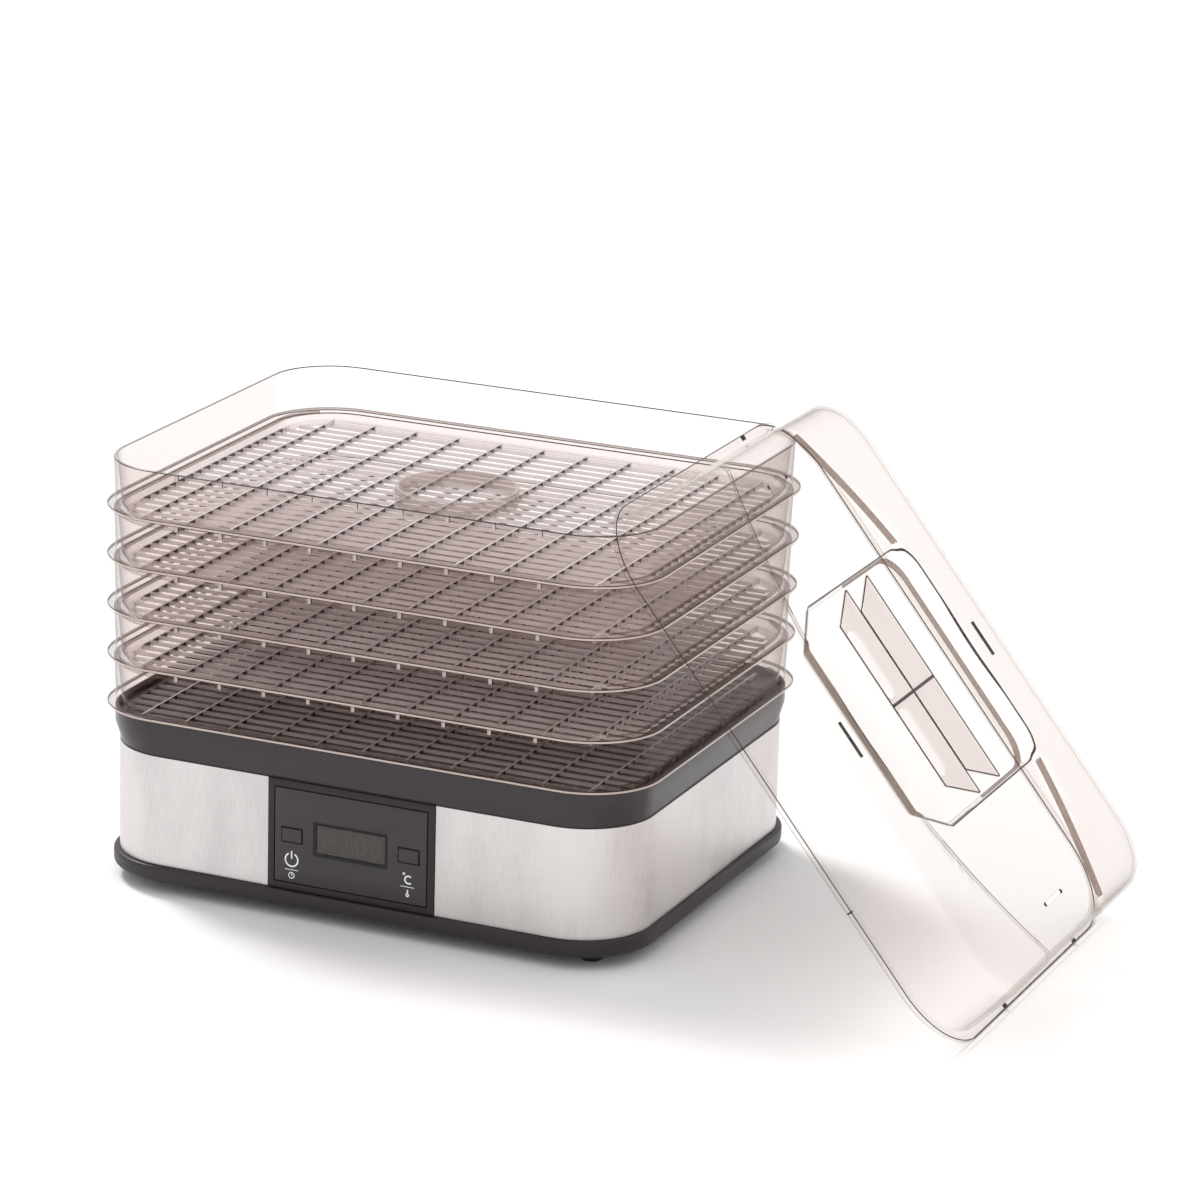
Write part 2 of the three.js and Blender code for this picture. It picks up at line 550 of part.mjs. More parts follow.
// Push button: the cap in the panel's hole, and a stem that reaches back to the board's switch.
function pushButton() {
  const front = PANEL_FRONT - BUTTON_PROUD;
  const cap = frontBlock(BUTTON_WIDTH, BUTTON_HEIGHT, front + 0.5, BUTTON_BACK)
    .add(frontBlock(BUTTON_WIDTH - 1, BUTTON_HEIGHT - 1, front, front + 1));
  const stemBack = BOARD_FRONT - BUTTON_TRAVEL - SEAT_GAP;
  return cap.add(frontBlock(BUTTON_STEM, BUTTON_STEM, BUTTON_BACK - 1, stemBack));
}

function addControls() {
  const windowFront = PANEL_FRONT + WINDOW_SUNK;
  const windowBack = windowFront + WINDOW_THICK;
  add("control_panel", controlPanel(), BLACK, 0.25);
  add("display_window", frontBlock(WINDOW_WIDTH, WINDOW_HEIGHT, windowFront, windowBack), 0x2a2624, 0.1);
  const moduleSize = [WINDOW_WIDTH + 2, WINDOW_HEIGHT + 4];
  add("display_module", frontBlock(...moduleSize, windowBack + SEAT_GAP, FRAME_BACK), 0x3a3a38, 0.6);
  const board = frontBlock(PANEL_FRAME_WIDTH - 2, PANEL_FRAME_HEIGHT, BOARD_FRONT, BOARD_FRONT + BOARD_THICK);
  const chip = frontBlock(20, 14, BOARD_FRONT + BOARD_THICK - 0.2, BOARD_FRONT + BOARD_THICK + 4, -18);
  const relay = frontBlock(16, 20, BOARD_FRONT + BOARD_THICK - 0.2, BOARD_FRONT + BOARD_THICK + 12, 24);
  add("control_board", board.add(chip).add(relay), 0x1f5a34, 0.5);
  const button = pushButton();
  add("time_button", button, BLACK, 0.3).position.x = -BUTTON_OFFSET;
  add("temp_button", button, BLACK, 0.3).position.x = BUTTON_OFFSET;
}

// ---- Fan and heater ----------------------------------------------------------------------------

function motorBracket() {
  const foot = BRACKET_REACH + BRACKET_FOOT;
  const low = BOTTOM_TOP + SEAT_GAP;
  const t = SHEET_THICK;
  const profile = polygon([
    [-foot, low], [-BRACKET_REACH, low], [-BRACKET_REACH, BRACKET_TOP - t], [BRACKET_REACH, BRACKET_TOP - t],
    [BRACKET_REACH, low], [foot, low], [foot, low + t], [BRACKET_REACH + t, low + t],
    [BRACKET_REACH + t, BRACKET_TOP], [-BRACKET_REACH - t, BRACKET_TOP], [-BRACKET_REACH - t, low + t],
    [-foot, low + t]]);
  const strap = new THREE.ExtrudeGeometry(profile, { depth: BRACKET_WIDTH, bevelEnabled: false });
  const holes = BRACKET_SCREWS.map((x) => circle(SCREW_RADIUS + HOLE_GAP, x));
  return toSolid(strap.rotateX(Math.PI / 2).translate(0, BRACKET_WIDTH / 2, 0))
    .subtract(plate(holes, low - 1, low + t + 1));
}

function motor() {
  const boss = 8;
  return disc(MOTOR_RADIUS, MOTOR_BOTTOM, MOTOR_TOP - 4, 0, 0, 24)
    .add(disc(boss, MOTOR_TOP - 5, MOTOR_TOP, 0, 0, 16));
}

// Fan: a hub with flat blades set at one pitch. The shaft passes through the hub.
function fanBlades() {
  const reach = FAN_RADIUS - FAN_HUB_RADIUS + 2;
  let solid = disc(FAN_HUB_RADIUS, FAN_FLOOR, FAN_FLOOR + FAN_HUB_HEIGHT, 0, 0, 20);
  for (let i = 0; i < FAN_BLADES; i += 1) {
    const blade = new THREE.BoxGeometry(reach, BLADE_WIDTH, BLADE_THICK)
      .translate(reach / 2, 0, 0)
      .rotateX(THREE.MathUtils.degToRad(BLADE_PITCH));
    const trimmed = toSolid(blade.translate(FAN_HUB_RADIUS - 2, 0, FAN_FLOOR + FAN_HUB_HEIGHT / 2)
      .rotateZ((i / FAN_BLADES) * 2 * Math.PI))
      .intersect(disc(FAN_RADIUS, FAN_FLOOR - 10, FAN_FLOOR + FAN_HUB_HEIGHT + 10, 0, 0, 36));
    solid = solid.add(trimmed);
  }
  return solid.subtract(disc(SHAFT_RADIUS + SEAT_GAP, FAN_FLOOR - 20, FAN_FLOOR + 40, 0, 0, 12));
}

// Mica cross that carries the ring heater, notched where the ring passes.
function heaterFrame() {
  const reach = 2 * (DUCT_RADIUS - DUCT_WALL - SEAT_GAP) - 1;
  const clear = new THREE.TorusGeometry(HEATER_RADIUS, HEATER_WIRE + SEAT_GAP, 6, 24);
  return block(reach, HEATER_FRAME_THICK, HEATER_FRAME_HEIGHT, 0, 0, HEATER_Z)
    .add(block(HEATER_FRAME_THICK, reach, HEATER_FRAME_HEIGHT, 0, 0, HEATER_Z))
    .subtract(toSolid(clear.translate(0, 0, HEATER_Z)));
}

function addAirPath() {
  const fixing = screw(BOTTOM_THICK + SHEET_THICK);
  add("motor_bracket", motorBracket(), STEEL, 0.4, 1);
  BRACKET_SCREWS.forEach((x, i) => {
    const mesh = add(`bracket_screw_${i + 1}`, fixing, DARK_METAL, 0.35, 1);
    mesh.rotation.x = Math.PI;
    mesh.position.set(x, 0, BOTTOM_TOP + 2 * SEAT_GAP + SHEET_THICK);
  });
  add("fan_motor", motor(), DARK_METAL, 0.4, 1);
  add("fan_shaft", disc(SHAFT_RADIUS, MOTOR_TOP + SEAT_GAP, SHAFT_TOP, 0, 0, 12), STEEL, 0.3, 1);
  add("fan_blades", fanBlades(), 0x8d8f92, 0.35, 1);
  const duct = turnedRing(DUCT_RADIUS - DUCT_WALL, DUCT_RADIUS, DUCT_TOP - DUCT_HEIGHT, DUCT_TOP, 36);
  add("air_duct", duct, STEEL, 0.35, 1);
  add("heater_frame", heaterFrame(), MICA, 0.7);
  const ring = new THREE.TorusGeometry(HEATER_RADIUS, HEATER_WIRE, 6, 24).translate(0, 0, HEATER_Z);
  add("heater_ring", toSolid(ring), 0x4a4644, 0.5, 1);
  const side = DUCT_RADIUS + SEAT_GAP;
  const level = DUCT_TOP - DUCT_HEIGHT / 2;
  const thermostat = new THREE.CylinderGeometry(THERMOSTAT_RADIUS, THERMOSTAT_RADIUS, THERMOSTAT_HEIGHT, 16)
    .rotateZ(Math.PI / 2)
    .translate(side + THERMOSTAT_HEIGHT / 2, 0, level);
  add("thermostat", toSolid(thermostat), STEEL, 0.4, 1);
  const fuse = new THREE.CylinderGeometry(FUSE_RADIUS, FUSE_RADIUS, FUSE_LENGTH, 12)
    .rotateX(Math.PI / 2)
    .translate(-side - FUSE_RADIUS, 0, level);
  add("thermal_fuse", toSolid(fuse), 0xcfc8b8, 0.5);
}

// ---- Lid ---------------------------------------------------------------------------------------

const LID_LENGTH = TRAY_LENGTH + 2 * LIP_REACH;
const LID_DEPTH = TRAY_DEPTH + 2 * LIP_REACH;
const LID_CORNER = TRAY_CORNER + LIP_REACH;
const POCKET_FLOOR = LID_HEIGHT - POCKET_DEPTH;
const POCKET_HALF_WIDTH = LID_DEPTH / 2 - POCKET_BORDER;
const SHUTTER_HALF_LONG = POCKET_HALF_LENGTH - SHUTTER_END_GAP;
const SHUTTER_HALF_SHORT = SHUTTER_HALF_LONG - SHUTTER_SLANT;

// The lid's wall and top, smaller all round by `inset`, up to z = top.
function lidBlock(inset, low, top, round) {
  const at = (shrink, z) => [
    LID_LENGTH - 2 * (LID_FOOT_INSET + shrink + inset), LID_DEPTH - 2 * (LID_FOOT_INSET + shrink + inset),
    LID_CORNER - LID_FOOT_INSET - shrink - inset, z];
  const sections = [at(0, low)];
  for (const turn of [0, 30, 60, 90]) {
    const a = THREE.MathUtils.degToRad(turn);
    sections.push(at(LID_DRAFT + round * (1 - Math.cos(a)), top - round * (1 - Math.sin(a))));
  }
  return loft(sections);
}

function pocketOutline(grow) {
  const x = POCKET_HALF_LENGTH + grow;
  const y = POCKET_HALF_WIDTH + grow;
  const cutX = x - POCKET_CUT_X;
  const cutY = y - POCKET_CUT_Y;
  return polygon([
    [x, -cutY], [x, cutY], [cutX, y], [-cutX, y], [-x, cutY], [-x, -cutY], [-cutX, -y], [cutX, -y]]);
}

function slotShape(x, y, length, width) {
  return polygon([
    [x - length / 2, y - width / 2], [x + length / 2, y - width / 2],
    [x + length / 2, y + width / 2], [x - length / 2, y + width / 2]]);
}

function lidShell() {
  const lip = plate(outline(LID_LENGTH, LID_DEPTH, LID_CORNER), 0, LID_LIP_THICK);
  const loose = 2 * SPIGOT_GAP;
  const seat = plate(
    outline(TRAY_LENGTH + loose, TRAY_DEPTH + loose, TRAY_CORNER + SPIGOT_GAP), -1, LID_SEAT_DEPTH);
  const shell = lidBlock(0, 0, LID_HEIGHT, LID_ROUND).add(lip).subtract(seat)
    .subtract(lidBlock(LID_WALL, -1, LID_HEIGHT - LID_WALL, LID_ROUND - LID_WALL));
  const ventY = SHUTTER_WIDTH - SHUTTER_TRAVEL / 2;
  const vents = [-1, 1].map((side) =>
    slotShape(side * (VENT_LENGTH + VENT_BAR) / 2, ventY, VENT_LENGTH, VENT_WIDTH));
  const slots = [
    slotShape(0, LID_DEPTH / 2 - SLOT_INSET, SIDE_SLOT_LENGTH, SLOT_WIDTH),
    slotShape(0, SLOT_INSET - LID_DEPTH / 2, SIDE_SLOT_LENGTH, SLOT_WIDTH),
    slotShape(LID_LENGTH / 2 - SLOT_INSET, 0, SLOT_WIDTH, END_SLOT_LENGTH),
    slotShape(SLOT_INSET - LID_LENGTH / 2, 0, SLOT_WIDTH, END_SLOT_LENGTH)];
  return shell
    .add(plate(pocketOutline(LID_WALL), POCKET_FLOOR - LID_WALL, LID_HEIGHT - 0.5))
    .subtract(plate(pocketOutline(0), POCKET_FLOOR, LID_HEIGHT + 1))
    .subtract(plate(vents, POCKET_FLOOR - LID_WALL - 1, LID_HEIGHT))
    .subtract(plate(slots, LID_HEIGHT - LID_WALL - 1, LID_HEIGHT + 1));
}

// Shutter: two leaves with slanted ends, side by side, joined by a bar across the middle.
function ventShutter() {
  const low = POCKET_FLOOR + SEAT_GAP;
  const leaf = (near) => polygon([
    [-SHUTTER_HALF_LONG, near], [SHUTTER_HALF_LONG, near],
    [SHUTTER_HALF_SHORT, near + SHUTTER_WIDTH], [-SHUTTER_HALF_SHORT, near + SHUTTER_WIDTH]]);
  const bar = block(
    SHUTTER_BAR_WIDTH, 2 * SHUTTER_WIDTH - 6, SHUTTER_BAR_HEIGHT + 0.5, 0, 3,
    low + SHUTTER_THICK + SHUTTER_BAR_HEIGHT / 2 - 0.25);
  return plate(leaf(0), low, low + SHUTTER_THICK)
    .add(plate(leaf(-SHUTTER_WIDTH), low, low + SHUTTER_THICK))
    .add(bar);
}

// The lid stands on its low end and leans on the top tray's rim: its length runs up to the left,
// its outer face looks up to the right, and its own +Y is towards the front.
function addLid() {
  const lean = Math.asin(STACK_TOP / (LID_LENGTH - LID_OVERHANG));
  const along = new THREE.Vector3(-Math.cos(lean), 0, Math.sin(lean));
  const outward = new THREE.Vector3(Math.sin(lean), 0, Math.cos(lean));
  const across = new THREE.Vector3(0, -1, 0);
  const footX = TRAY_LENGTH / 2 + STACK_TOP / Math.tan(lean) + (2 * SEAT_GAP) / Math.sin(lean);
  const middle = new THREE.Vector3(footX, LID_Y, SEAT_GAP).addScaledVector(along, LID_LENGTH / 2);
  const leaning = new THREE.Group();
  leaning.applyMatrix4(new THREE.Matrix4().makeBasis(along, across, outward).setPosition(middle));
  group.add(leaning);
  add("lid", lidShell(), SMOKE, 0.12, 0, leaning);
  add("vent_shutter", ventShutter(), SMOKE, 0.15, 0, leaning);
}

addBase();
addControls();
addAirPath();
addTrays();
addLid();

// The origin goes to the bottom centre of the box around the stack and the lid.
const box = new THREE.Box3().setFromObject(group, true);
group.position.x = -(box.min.x + box.max.x) / 2;
group.position.y = -(box.min.y + box.max.y) / 2;
group.position.z = -box.min.z;

export default group;
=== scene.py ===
"""A five-tray food dehydrator: a fan-heater base, a stack of clear slatted trays, and a clear lid that leans
against the stack. The sections follow the object as it is put together, from the base tray up.

Sizes are in millimetres about the middle of the stack, with z up from the ground. place() turns them into
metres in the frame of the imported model, which also gives every overall size and height.
"""

import json
import math

import bpy
import numpy as np
from mathutils import Matrix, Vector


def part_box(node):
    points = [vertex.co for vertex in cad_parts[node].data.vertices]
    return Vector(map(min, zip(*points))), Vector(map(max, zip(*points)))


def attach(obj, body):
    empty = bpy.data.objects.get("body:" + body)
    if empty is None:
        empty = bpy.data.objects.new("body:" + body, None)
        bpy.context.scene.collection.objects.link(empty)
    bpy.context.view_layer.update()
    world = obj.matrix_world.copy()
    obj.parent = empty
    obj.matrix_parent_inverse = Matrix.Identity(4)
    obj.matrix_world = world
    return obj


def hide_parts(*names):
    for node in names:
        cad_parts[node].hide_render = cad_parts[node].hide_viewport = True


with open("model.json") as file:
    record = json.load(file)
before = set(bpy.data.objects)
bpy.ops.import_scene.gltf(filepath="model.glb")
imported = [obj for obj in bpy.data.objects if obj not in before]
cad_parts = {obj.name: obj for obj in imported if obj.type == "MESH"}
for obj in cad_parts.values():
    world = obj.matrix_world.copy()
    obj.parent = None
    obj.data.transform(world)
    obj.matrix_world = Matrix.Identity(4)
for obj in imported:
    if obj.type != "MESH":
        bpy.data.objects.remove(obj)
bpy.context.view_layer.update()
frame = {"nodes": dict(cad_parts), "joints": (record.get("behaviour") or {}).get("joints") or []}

# ---- Base tray -------------------------------------------------------------------------------------
# The black skirt at the bottom of the base. It is moulded in satin ABS as one shallow tray, whose
# rounded rim stands a little outside the steel band, and it carries the feet and the intake grille.

MM = 0.001
BASE_LOW, BASE_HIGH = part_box("base_tray")
STACK = np.array([(BASE_LOW.x + BASE_HIGH.x) / 2, (BASE_LOW.y + BASE_HIGH.y) / 2, 0])
SKIRT_LENGTH = (BASE_HIGH.x - BASE_LOW.x) / MM
SKIRT_DEPTH = (BASE_HIGH.y - BASE_LOW.y) / MM
SKIRT_BOTTOM = BASE_LOW.z / MM
SKIRT_TOP = BASE_HIGH.z / MM
SKIRT_CORNER = 44
SKIRT_RIM = 5.9
BOTTOM_THICK = 2.5
INTAKE_HOLE = 60
CREASE = math.radians(32)


def place(points):
    """Millimetres about the middle of the stack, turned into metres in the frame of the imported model."""
    return np.asarray(points, float) * MM + STACK


def box_mm(node):
    """Lowest and highest corners of a CAD node, in millimetres about the middle of the stack."""
    low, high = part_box(node)
    return (np.array(low) - STACK) / MM, (np.array(high) - STACK) / MM


def rounded_rectangle(length, depth, corner, arc=12, side=1):
    """Points around a rounded rectangle, anticlockwise from above: at each corner the arc
    centre + corner * (cos a, sin a), and between two arcs a straight side in equal steps."""
    angle = np.radians(np.arange(4)[:, None] * 90 + np.linspace(0, 90, arc + 1))
    signs = np.array([[1, 1], [-1, 1], [-1, -1], [1, -1]])
    centres = signs * [length / 2 - corner, depth / 2 - corner]
    arcs = centres[:, None] + corner * np.stack([np.cos(angle), np.sin(angle)], 2)
    starts, ends = arcs[:, -1:], np.roll(arcs[:, :1], -1, axis=0)
    sides = starts + (ends - starts) * (np.arange(1, side) / side)[None, :, None]
    return np.concatenate([arcs, sides], 1).reshape(-1, 2)


def circle_towards(outline, radius):
    """Points of a circle that lie in the same directions from its middle as those of an outline."""
    return radius * outline / np.linalg.norm(outline, axis=1)[:, None]


def rounded_corners(points, radii, steps=5):
    """A closed polygon with an arc in place of each corner. The arc's middle is on the corner's
    bisector, radius / sin(half the corner's angle) away, and the arc turns evenly from side to side."""
    here = np.asarray(points, float)
    back, ahead = np.roll(here, 1, 0) - here, np.roll(here, -1, 0) - here
    back /= np.linalg.norm(back, axis=1)[:, None]
    ahead /= np.linalg.norm(ahead, axis=1)[:, None]
    half = np.arccos(np.clip((back * ahead).sum(1), -1, 1)) / 2
    radii = np.broadcast_to(np.asarray(radii, float), half.shape)
    reach = (radii / np.tan(half))[:, None]
    bisector = (back + ahead) / np.linalg.norm(back + ahead, axis=1)[:, None]
    middle = here + bisector * (radii / np.sin(half))[:, None]
    start, end = here + back * reach - middle, here + ahead * reach - middle
    turn = (np.pi - 2 * half)[:, None, None]
    t = np.linspace(0, 1, steps)[None, :, None]
    arc = (np.sin((1 - t) * turn) * start[:, None] + np.sin(t * turn) * end[:, None]) / np.sin(turn)
    return (middle[:, None] + arc).reshape(-1, 2)


def wrapped(section, length, depth, corner, arc=12):
    """A closed section, in steps outward and up, carried around a rounded rectangle: each of its points
    gives a ring, the rectangle grown by the step outward, at that height."""
    return np.stack([
        np.column_stack([ring, np.full(len(ring), up)])
        for out, up in section
        for ring in [rounded_rectangle(length + 2 * out, depth + 2 * out, corner + out, arc)]])


def rings_at(outlines, heights):
    """Flat outlines with equal counts of points, each at its height, as rings for shell()."""
    return np.stack([np.column_stack([o, np.full(len(o), z)]) for o, z in zip(outlines, heights)])


def shell(rings, closed=True):
    """A skin of four-sided faces from ring to ring. A closed skin joins its last ring to its first, and
    an open one is shut by a fan of triangles about the middle of its first and of its last ring."""
    levels, count = rings.shape[:2]
    i, j = np.meshgrid(np.arange(count), np.arange(levels if closed else levels - 1))
    ahead, up = (i + 1) % count, (j + 1) % levels
    quads = np.stack([j * count + i, j * count + ahead, up * count + ahead, up * count + i], 2)
    points, faces = rings.reshape(-1, 3), quads.reshape(-1, 4).tolist()
    if not closed:
        ends = np.stack([rings[0].mean(0), rings[-1].mean(0)])
        points = np.concatenate([points, ends])
        k, last, hub = np.arange(count), (levels - 1) * count, levels * count
        faces += np.stack([np.full(count, hub), (k + 1) % count, k], 1).tolist()
        faces += np.stack([np.full(count, hub + 1), last + k, last + (k + 1) % count], 1).tolist()
    return points, faces


def together(*parts):
    """Several skins as one, with the face numbers of each moved past the points before it."""
    points, faces = [], []
    for p, f in parts:
        start = sum(len(q) for q in points)
        faces += [[n + start for n in face] for face in f]
        points.append(p)
    return np.concatenate(points), faces


def put_in(name, data):
    """An object of a mesh, lamp or camera, linked into the scene."""
    made = bpy.data.objects.new(name, data)
    bpy.context.scene.collection.objects.link(made)
    return made


def piece(name, skin, body, materials, replaces=(), finish=None):
    """Makes a piece from a skin in millimetres, smooth but for edges sharper than the crease angle.
    finish gives the number of each face's material where there is more than one."""
    points, faces = skin
    mesh = bpy.data.meshes.new(name)
    mesh.from_pydata(place(points).tolist(), [], faces)
    for material in materials:
        mesh.materials.append(material)
    if finish is not None:
        mesh.polygons.foreach_set("material_index", np.asarray(finish, np.int32))
    mesh.validate()
    mesh.shade_smooth()
    mesh.set_sharp_from_angle(angle=CREASE)
    made = put_in(name, mesh)
    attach(made, body)
    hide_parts(*replaces)
    return made


def new_material(name):
    """A node material and its shader."""
    material = bpy.data.materials.new(name)
    material.use_nodes = True
    return material, material.node_tree.nodes["Principled BSDF"]


def add(material, kind, values=None, **settings):
    """Adds a shader node with its settings, and puts the values on its own sockets."""
    made = material.node_tree.nodes.new("ShaderNode" + kind)
    for setting, value in settings.items():
        setattr(made, setting, value)
    for socket, value in (values or {}).items():
        made.inputs[socket].default_value = value
    return made


def join(material, *links):
    """Links each (node, output, node, input)."""
    for source, output, target, socket in links:
        material.node_tree.links.new(source.outputs[output], target.inputs[socket])


def moulded(name, colour, roughness, grain=900, relief=0.12, **sockets):
    """Moulded plastic: a fine spark-eroded grain that lifts the surface and varies its gloss, over a
    slow drift of gloss from the way that the melt filled the mould."""
    material, shader = new_material(name)
    shader.inputs["Base Color"].default_value = (*colour, 1)
    for socket, value in sockets.items():
        shader.inputs[socket.replace("_", " ")].default_value = value
    where = add(material, "TexCoord")
    fine = add(material, "TexNoise", {"Scale": grain})
    slow = add(material, "TexNoise", {"Scale": 14})
    blend = add(material, "Math", {1: 0.5}, operation="MULTIPLY_ADD")
    gloss = add(material, "MapRange", {"From Min": 0.4, "From Max": 1.1, "To Min": roughness * 0.8,
                                       "To Max": min(1.0, roughness * 1.25)})
    bump = add(material, "Bump", {"Strength": relief, "Distance": 0.0001})
    join(material, (where, "Object", fine, "Vector"), (where, "Object", slow, "Vector"),
         (fine, "Fac", blend, 0), (slow, "Fac", blend, 2), (blend, 0, gloss, "Value"),
         (gloss, "Result", shader, "Roughness"), (fine, "Fac", bump, "Height"),
         (bump, "Normal", shader, "Normal"))
    return material


satin_abs = moulded("satin_black_abs", (0.025, 0.019, 0.021), 0.42, relief=0.2, Specular_IOR_Level=0.35)


def skirt():
    """Rings of the base tray: out along its underside from the intake hole, up the rounded rim, down
    inside the rim, and back along the floor to the hole."""
    rim = rounded_corners(
        [(0, SKIRT_BOTTOM), (0, SKIRT_TOP), (-SKIRT_RIM, SKIRT_TOP),
         (-SKIRT_RIM, SKIRT_BOTTOM + BOTTOM_THICK)], [2.6, 1.6, 0.6, 0.8], 6)
    rings = wrapped(rim, SKIRT_LENGTH, SKIRT_DEPTH, SKIRT_CORNER)
    hole = circle_towards(rings[0, :, :2], INTAKE_HOLE)
    return np.concatenate([rings_at([hole], [SKIRT_BOTTOM]), rings,
                           rings_at([hole], [SKIRT_BOTTOM + BOTTOM_THICK])])


piece("base_skirt", shell(skirt()), "base", [satin_abs], ["base_tray"])

# ---- Feet ------------------------------------------------------------------------------------------
# Four turned pads of black rubber under the base tray, each held by a stem through the bottom.

rubber = moulded("foot_rubber", (0.012, 0.012, 0.012), 0.75, grain=500, relief=0.4)


def turned(profile, count=40, x=0.0, y=0.0):
    """Rings of a turned solid: each profile point (radius, z) goes once around (x, y)."""
    angle = np.linspace(0, 2 * np.pi, count, endpoint=False)
    radius, z = np.asarray(profile, float).T
    return np.stack([
        x + radius[:, None] * np.cos(angle), y + radius[:, None] * np.sin(angle),
        np.broadcast_to(z[:, None], (len(z), count))], 2)


for number in range(1, 5):
    low, high = box_mm(f"foot_{number}")
    middle, reach = (low + high) / 2, (high[0] - low[0]) / 2
    pad_top = SKIRT_BOTTOM - 0.3
    outline = [(reach - 1.6, 0), (reach - 0.5, 0.4), (reach, 1.2), (reach, pad_top - 0.6),
               (reach - 0.6, pad_top), (2.0, pad_top), (2.0, high[2] - 1.6), (0.8, high[2])]
    piece(f"foot_pad_{number}", shell(turned(outline, 40, middle[0], middle[1]), closed=False),
          "base", [rubber], [f"foot_{number}"])

# ---- Stainless band --------------------------------------------------------------------------------
# One strip of 0.8 mm stainless sheet, bent around the base and open at the front for the panel. It is
# brushed lightly along its height, and clipped between the skirt and the collar.

band_low, band_high = box_mm("steel_band")
BAND_LENGTH, BAND_DEPTH = band_high[:2] - band_low[:2]
BAND_CORNER = 42
BAND_THICK = 0.8
panel_low, panel_high = box_mm("control_panel")
BAND_GAP = (panel_high[0] - panel_low[0]) + 0.6


def brushed(name, colour, roughness, stretch, relief=0.25):
    """Brushed metal: noise drawn out one way gives the scratches, and a slow cloud, drawn out a little,
    gives the faint patches of a hand-finished sheet."""
    material, shader = new_material(name)
    shader.inputs["Metallic"].default_value = 1
    where = add(material, "TexCoord")
    drawn = add(material, "Mapping", {"Scale": stretch})
    scratches = add(material, "TexNoise", {"Scale": 60, "Detail": 6})
    clouds = add(material, "Mapping", {"Scale": (1, 1, 0.4)})
    patches = add(material, "TexNoise", {"Scale": 24, "Detail": 4})
    mixed = add(material, "Math", {1: 0.55}, operation="MULTIPLY_ADD")
    spread = add(material, "MapRange", {"From Min": 0.62, "From Max": 0.92})
    tone = add(material, "Mix", {"A": (*[c * 0.80 for c in colour], 1), "B": (*colour, 1)}, data_type="RGBA")
    gloss = add(material, "MapRange", {"From Min": 0.45, "From Max": 1.05, "To Min": roughness * 0.75,
                                       "To Max": roughness * 1.3})
    bump = add(material, "Bump", {"Strength": relief, "Distance": 0.00004})
    join(material, (where, "Object", drawn, "Vector"), (drawn, "Vector", scratches, "Vector"),
         (where, "Object", clouds, "Vector"), (clouds, "Vector", patches, "Vector"),
         (scratches, "Fac", mixed, 0), (patches, "Fac", mixed, 2), (mixed, 0, gloss, "Value"),
         (gloss, "Result", shader, "Roughness"), (mixed, 0, spread, "Value"),
         (spread, "Result", tone, "Factor"), (tone, "Result", shader, "Base Color"),
         (scratches, "Fac", bump, "Height"), (bump, "Normal", shader, "Normal"))
    return material


stainless = brushed("brushed_stainless", (0.70, 0.665, 0.66), 0.36, (30, 30, 1.5))


def band_rings():
    """Rings along the strip: its four-cornered section, carried around the rounded rectangle from one
    side of the panel to the other."""
    def path(inset):
        ring = rounded_rectangle(
            BAND_LENGTH - 2 * inset, BAND_DEPTH - 2 * inset, BAND_CORNER - inset, 16)
        right = [BAND_GAP / 2, inset - BAND_DEPTH / 2]
        left = [-BAND_GAP / 2, inset - BAND_DEPTH / 2]
        corner = len(ring) // 4
        return np.concatenate([[right], ring[3 * corner:], ring[:3 * corner], [left]])
    section = [(0, band_low[2]), (0, band_high[2]), (BAND_THICK, band_high[2]), (BAND_THICK, band_low[2])]
    insets, heights = zip(*section)
    return rings_at([path(inset) for inset in insets], heights).transpose(1, 0, 2)[::-1]


piece("band", shell(band_rings(), closed=False), "base", [stainless], ["steel_band"])

# ---- Upper housing ---------------------------------------------------------------------------------
# The glossy black collar that the trays stand on, moulded in one with the deck over the fan and with
# the wall behind the band. Four posts take the screws from below.

gloss_abs = moulded("gloss_black_abs", (0.030, 0.023, 0.026), 0.24, grain=300, relief=0.03,
                    Specular_IOR_Level=0.4)
house_low, house_high = box_mm("upper_housing")
COLLAR_LENGTH, COLLAR_DEPTH = house_high[:2] - house_low[:2]
COLLAR_CORNER = 40
COLLAR_BOTTOM = band_high[2] + 0.3
SEAT_INSET = 1.8
HOUSING_WALL = 2.2
DECK_TOP = box_mm("air_grille")[1][2] + 1
DECK_BOTTOM = DECK_TOP - 2.5
DECK_HOLE = 83
POST_RADIUS = 4.5
POST_BORE = 1.9
PANEL_FRAME_HALF = 46
PANEL_FRAME_WALL = 2


def housing():
    """Rings of the housing: from the deck's hole out along the deck, up the tray seat, over the collar,
    down the outside of the collar and of the wall behind the band, and back up inside to the hole."""
    seat = rounded_corners(
        [(-SEAT_INSET, DECK_TOP), (-SEAT_INSET, house_high[2]), (0, house_high[2]), (0, COLLAR_BOTTOM)],
        [1.5, 0.3, 1.2, 0.6], 5)[4:-4]
    collar_rings = wrapped(seat, COLLAR_LENGTH, COLLAR_DEPTH, COLLAR_CORNER, 16)
    inside = -(BAND_THICK + 0.1)
    inner, foot = inside - HOUSING_WALL, band_low[2] + 0.2
    behind = [(inside, COLLAR_BOTTOM), (inside, foot), (inner, foot), (inner, DECK_BOTTOM - 1),
              (inner - 1, DECK_BOTTOM)]
    wall_rings = wrapped(behind, BAND_LENGTH, BAND_DEPTH, BAND_CORNER, 16)
    rings = np.concatenate([collar_rings, wall_rings])[::-1]
    hole = circle_towards(rings[0, :, :2], DECK_HOLE)
    return np.concatenate([rings_at([hole], [DECK_BOTTOM]), rings, rings_at([hole], [DECK_TOP])])


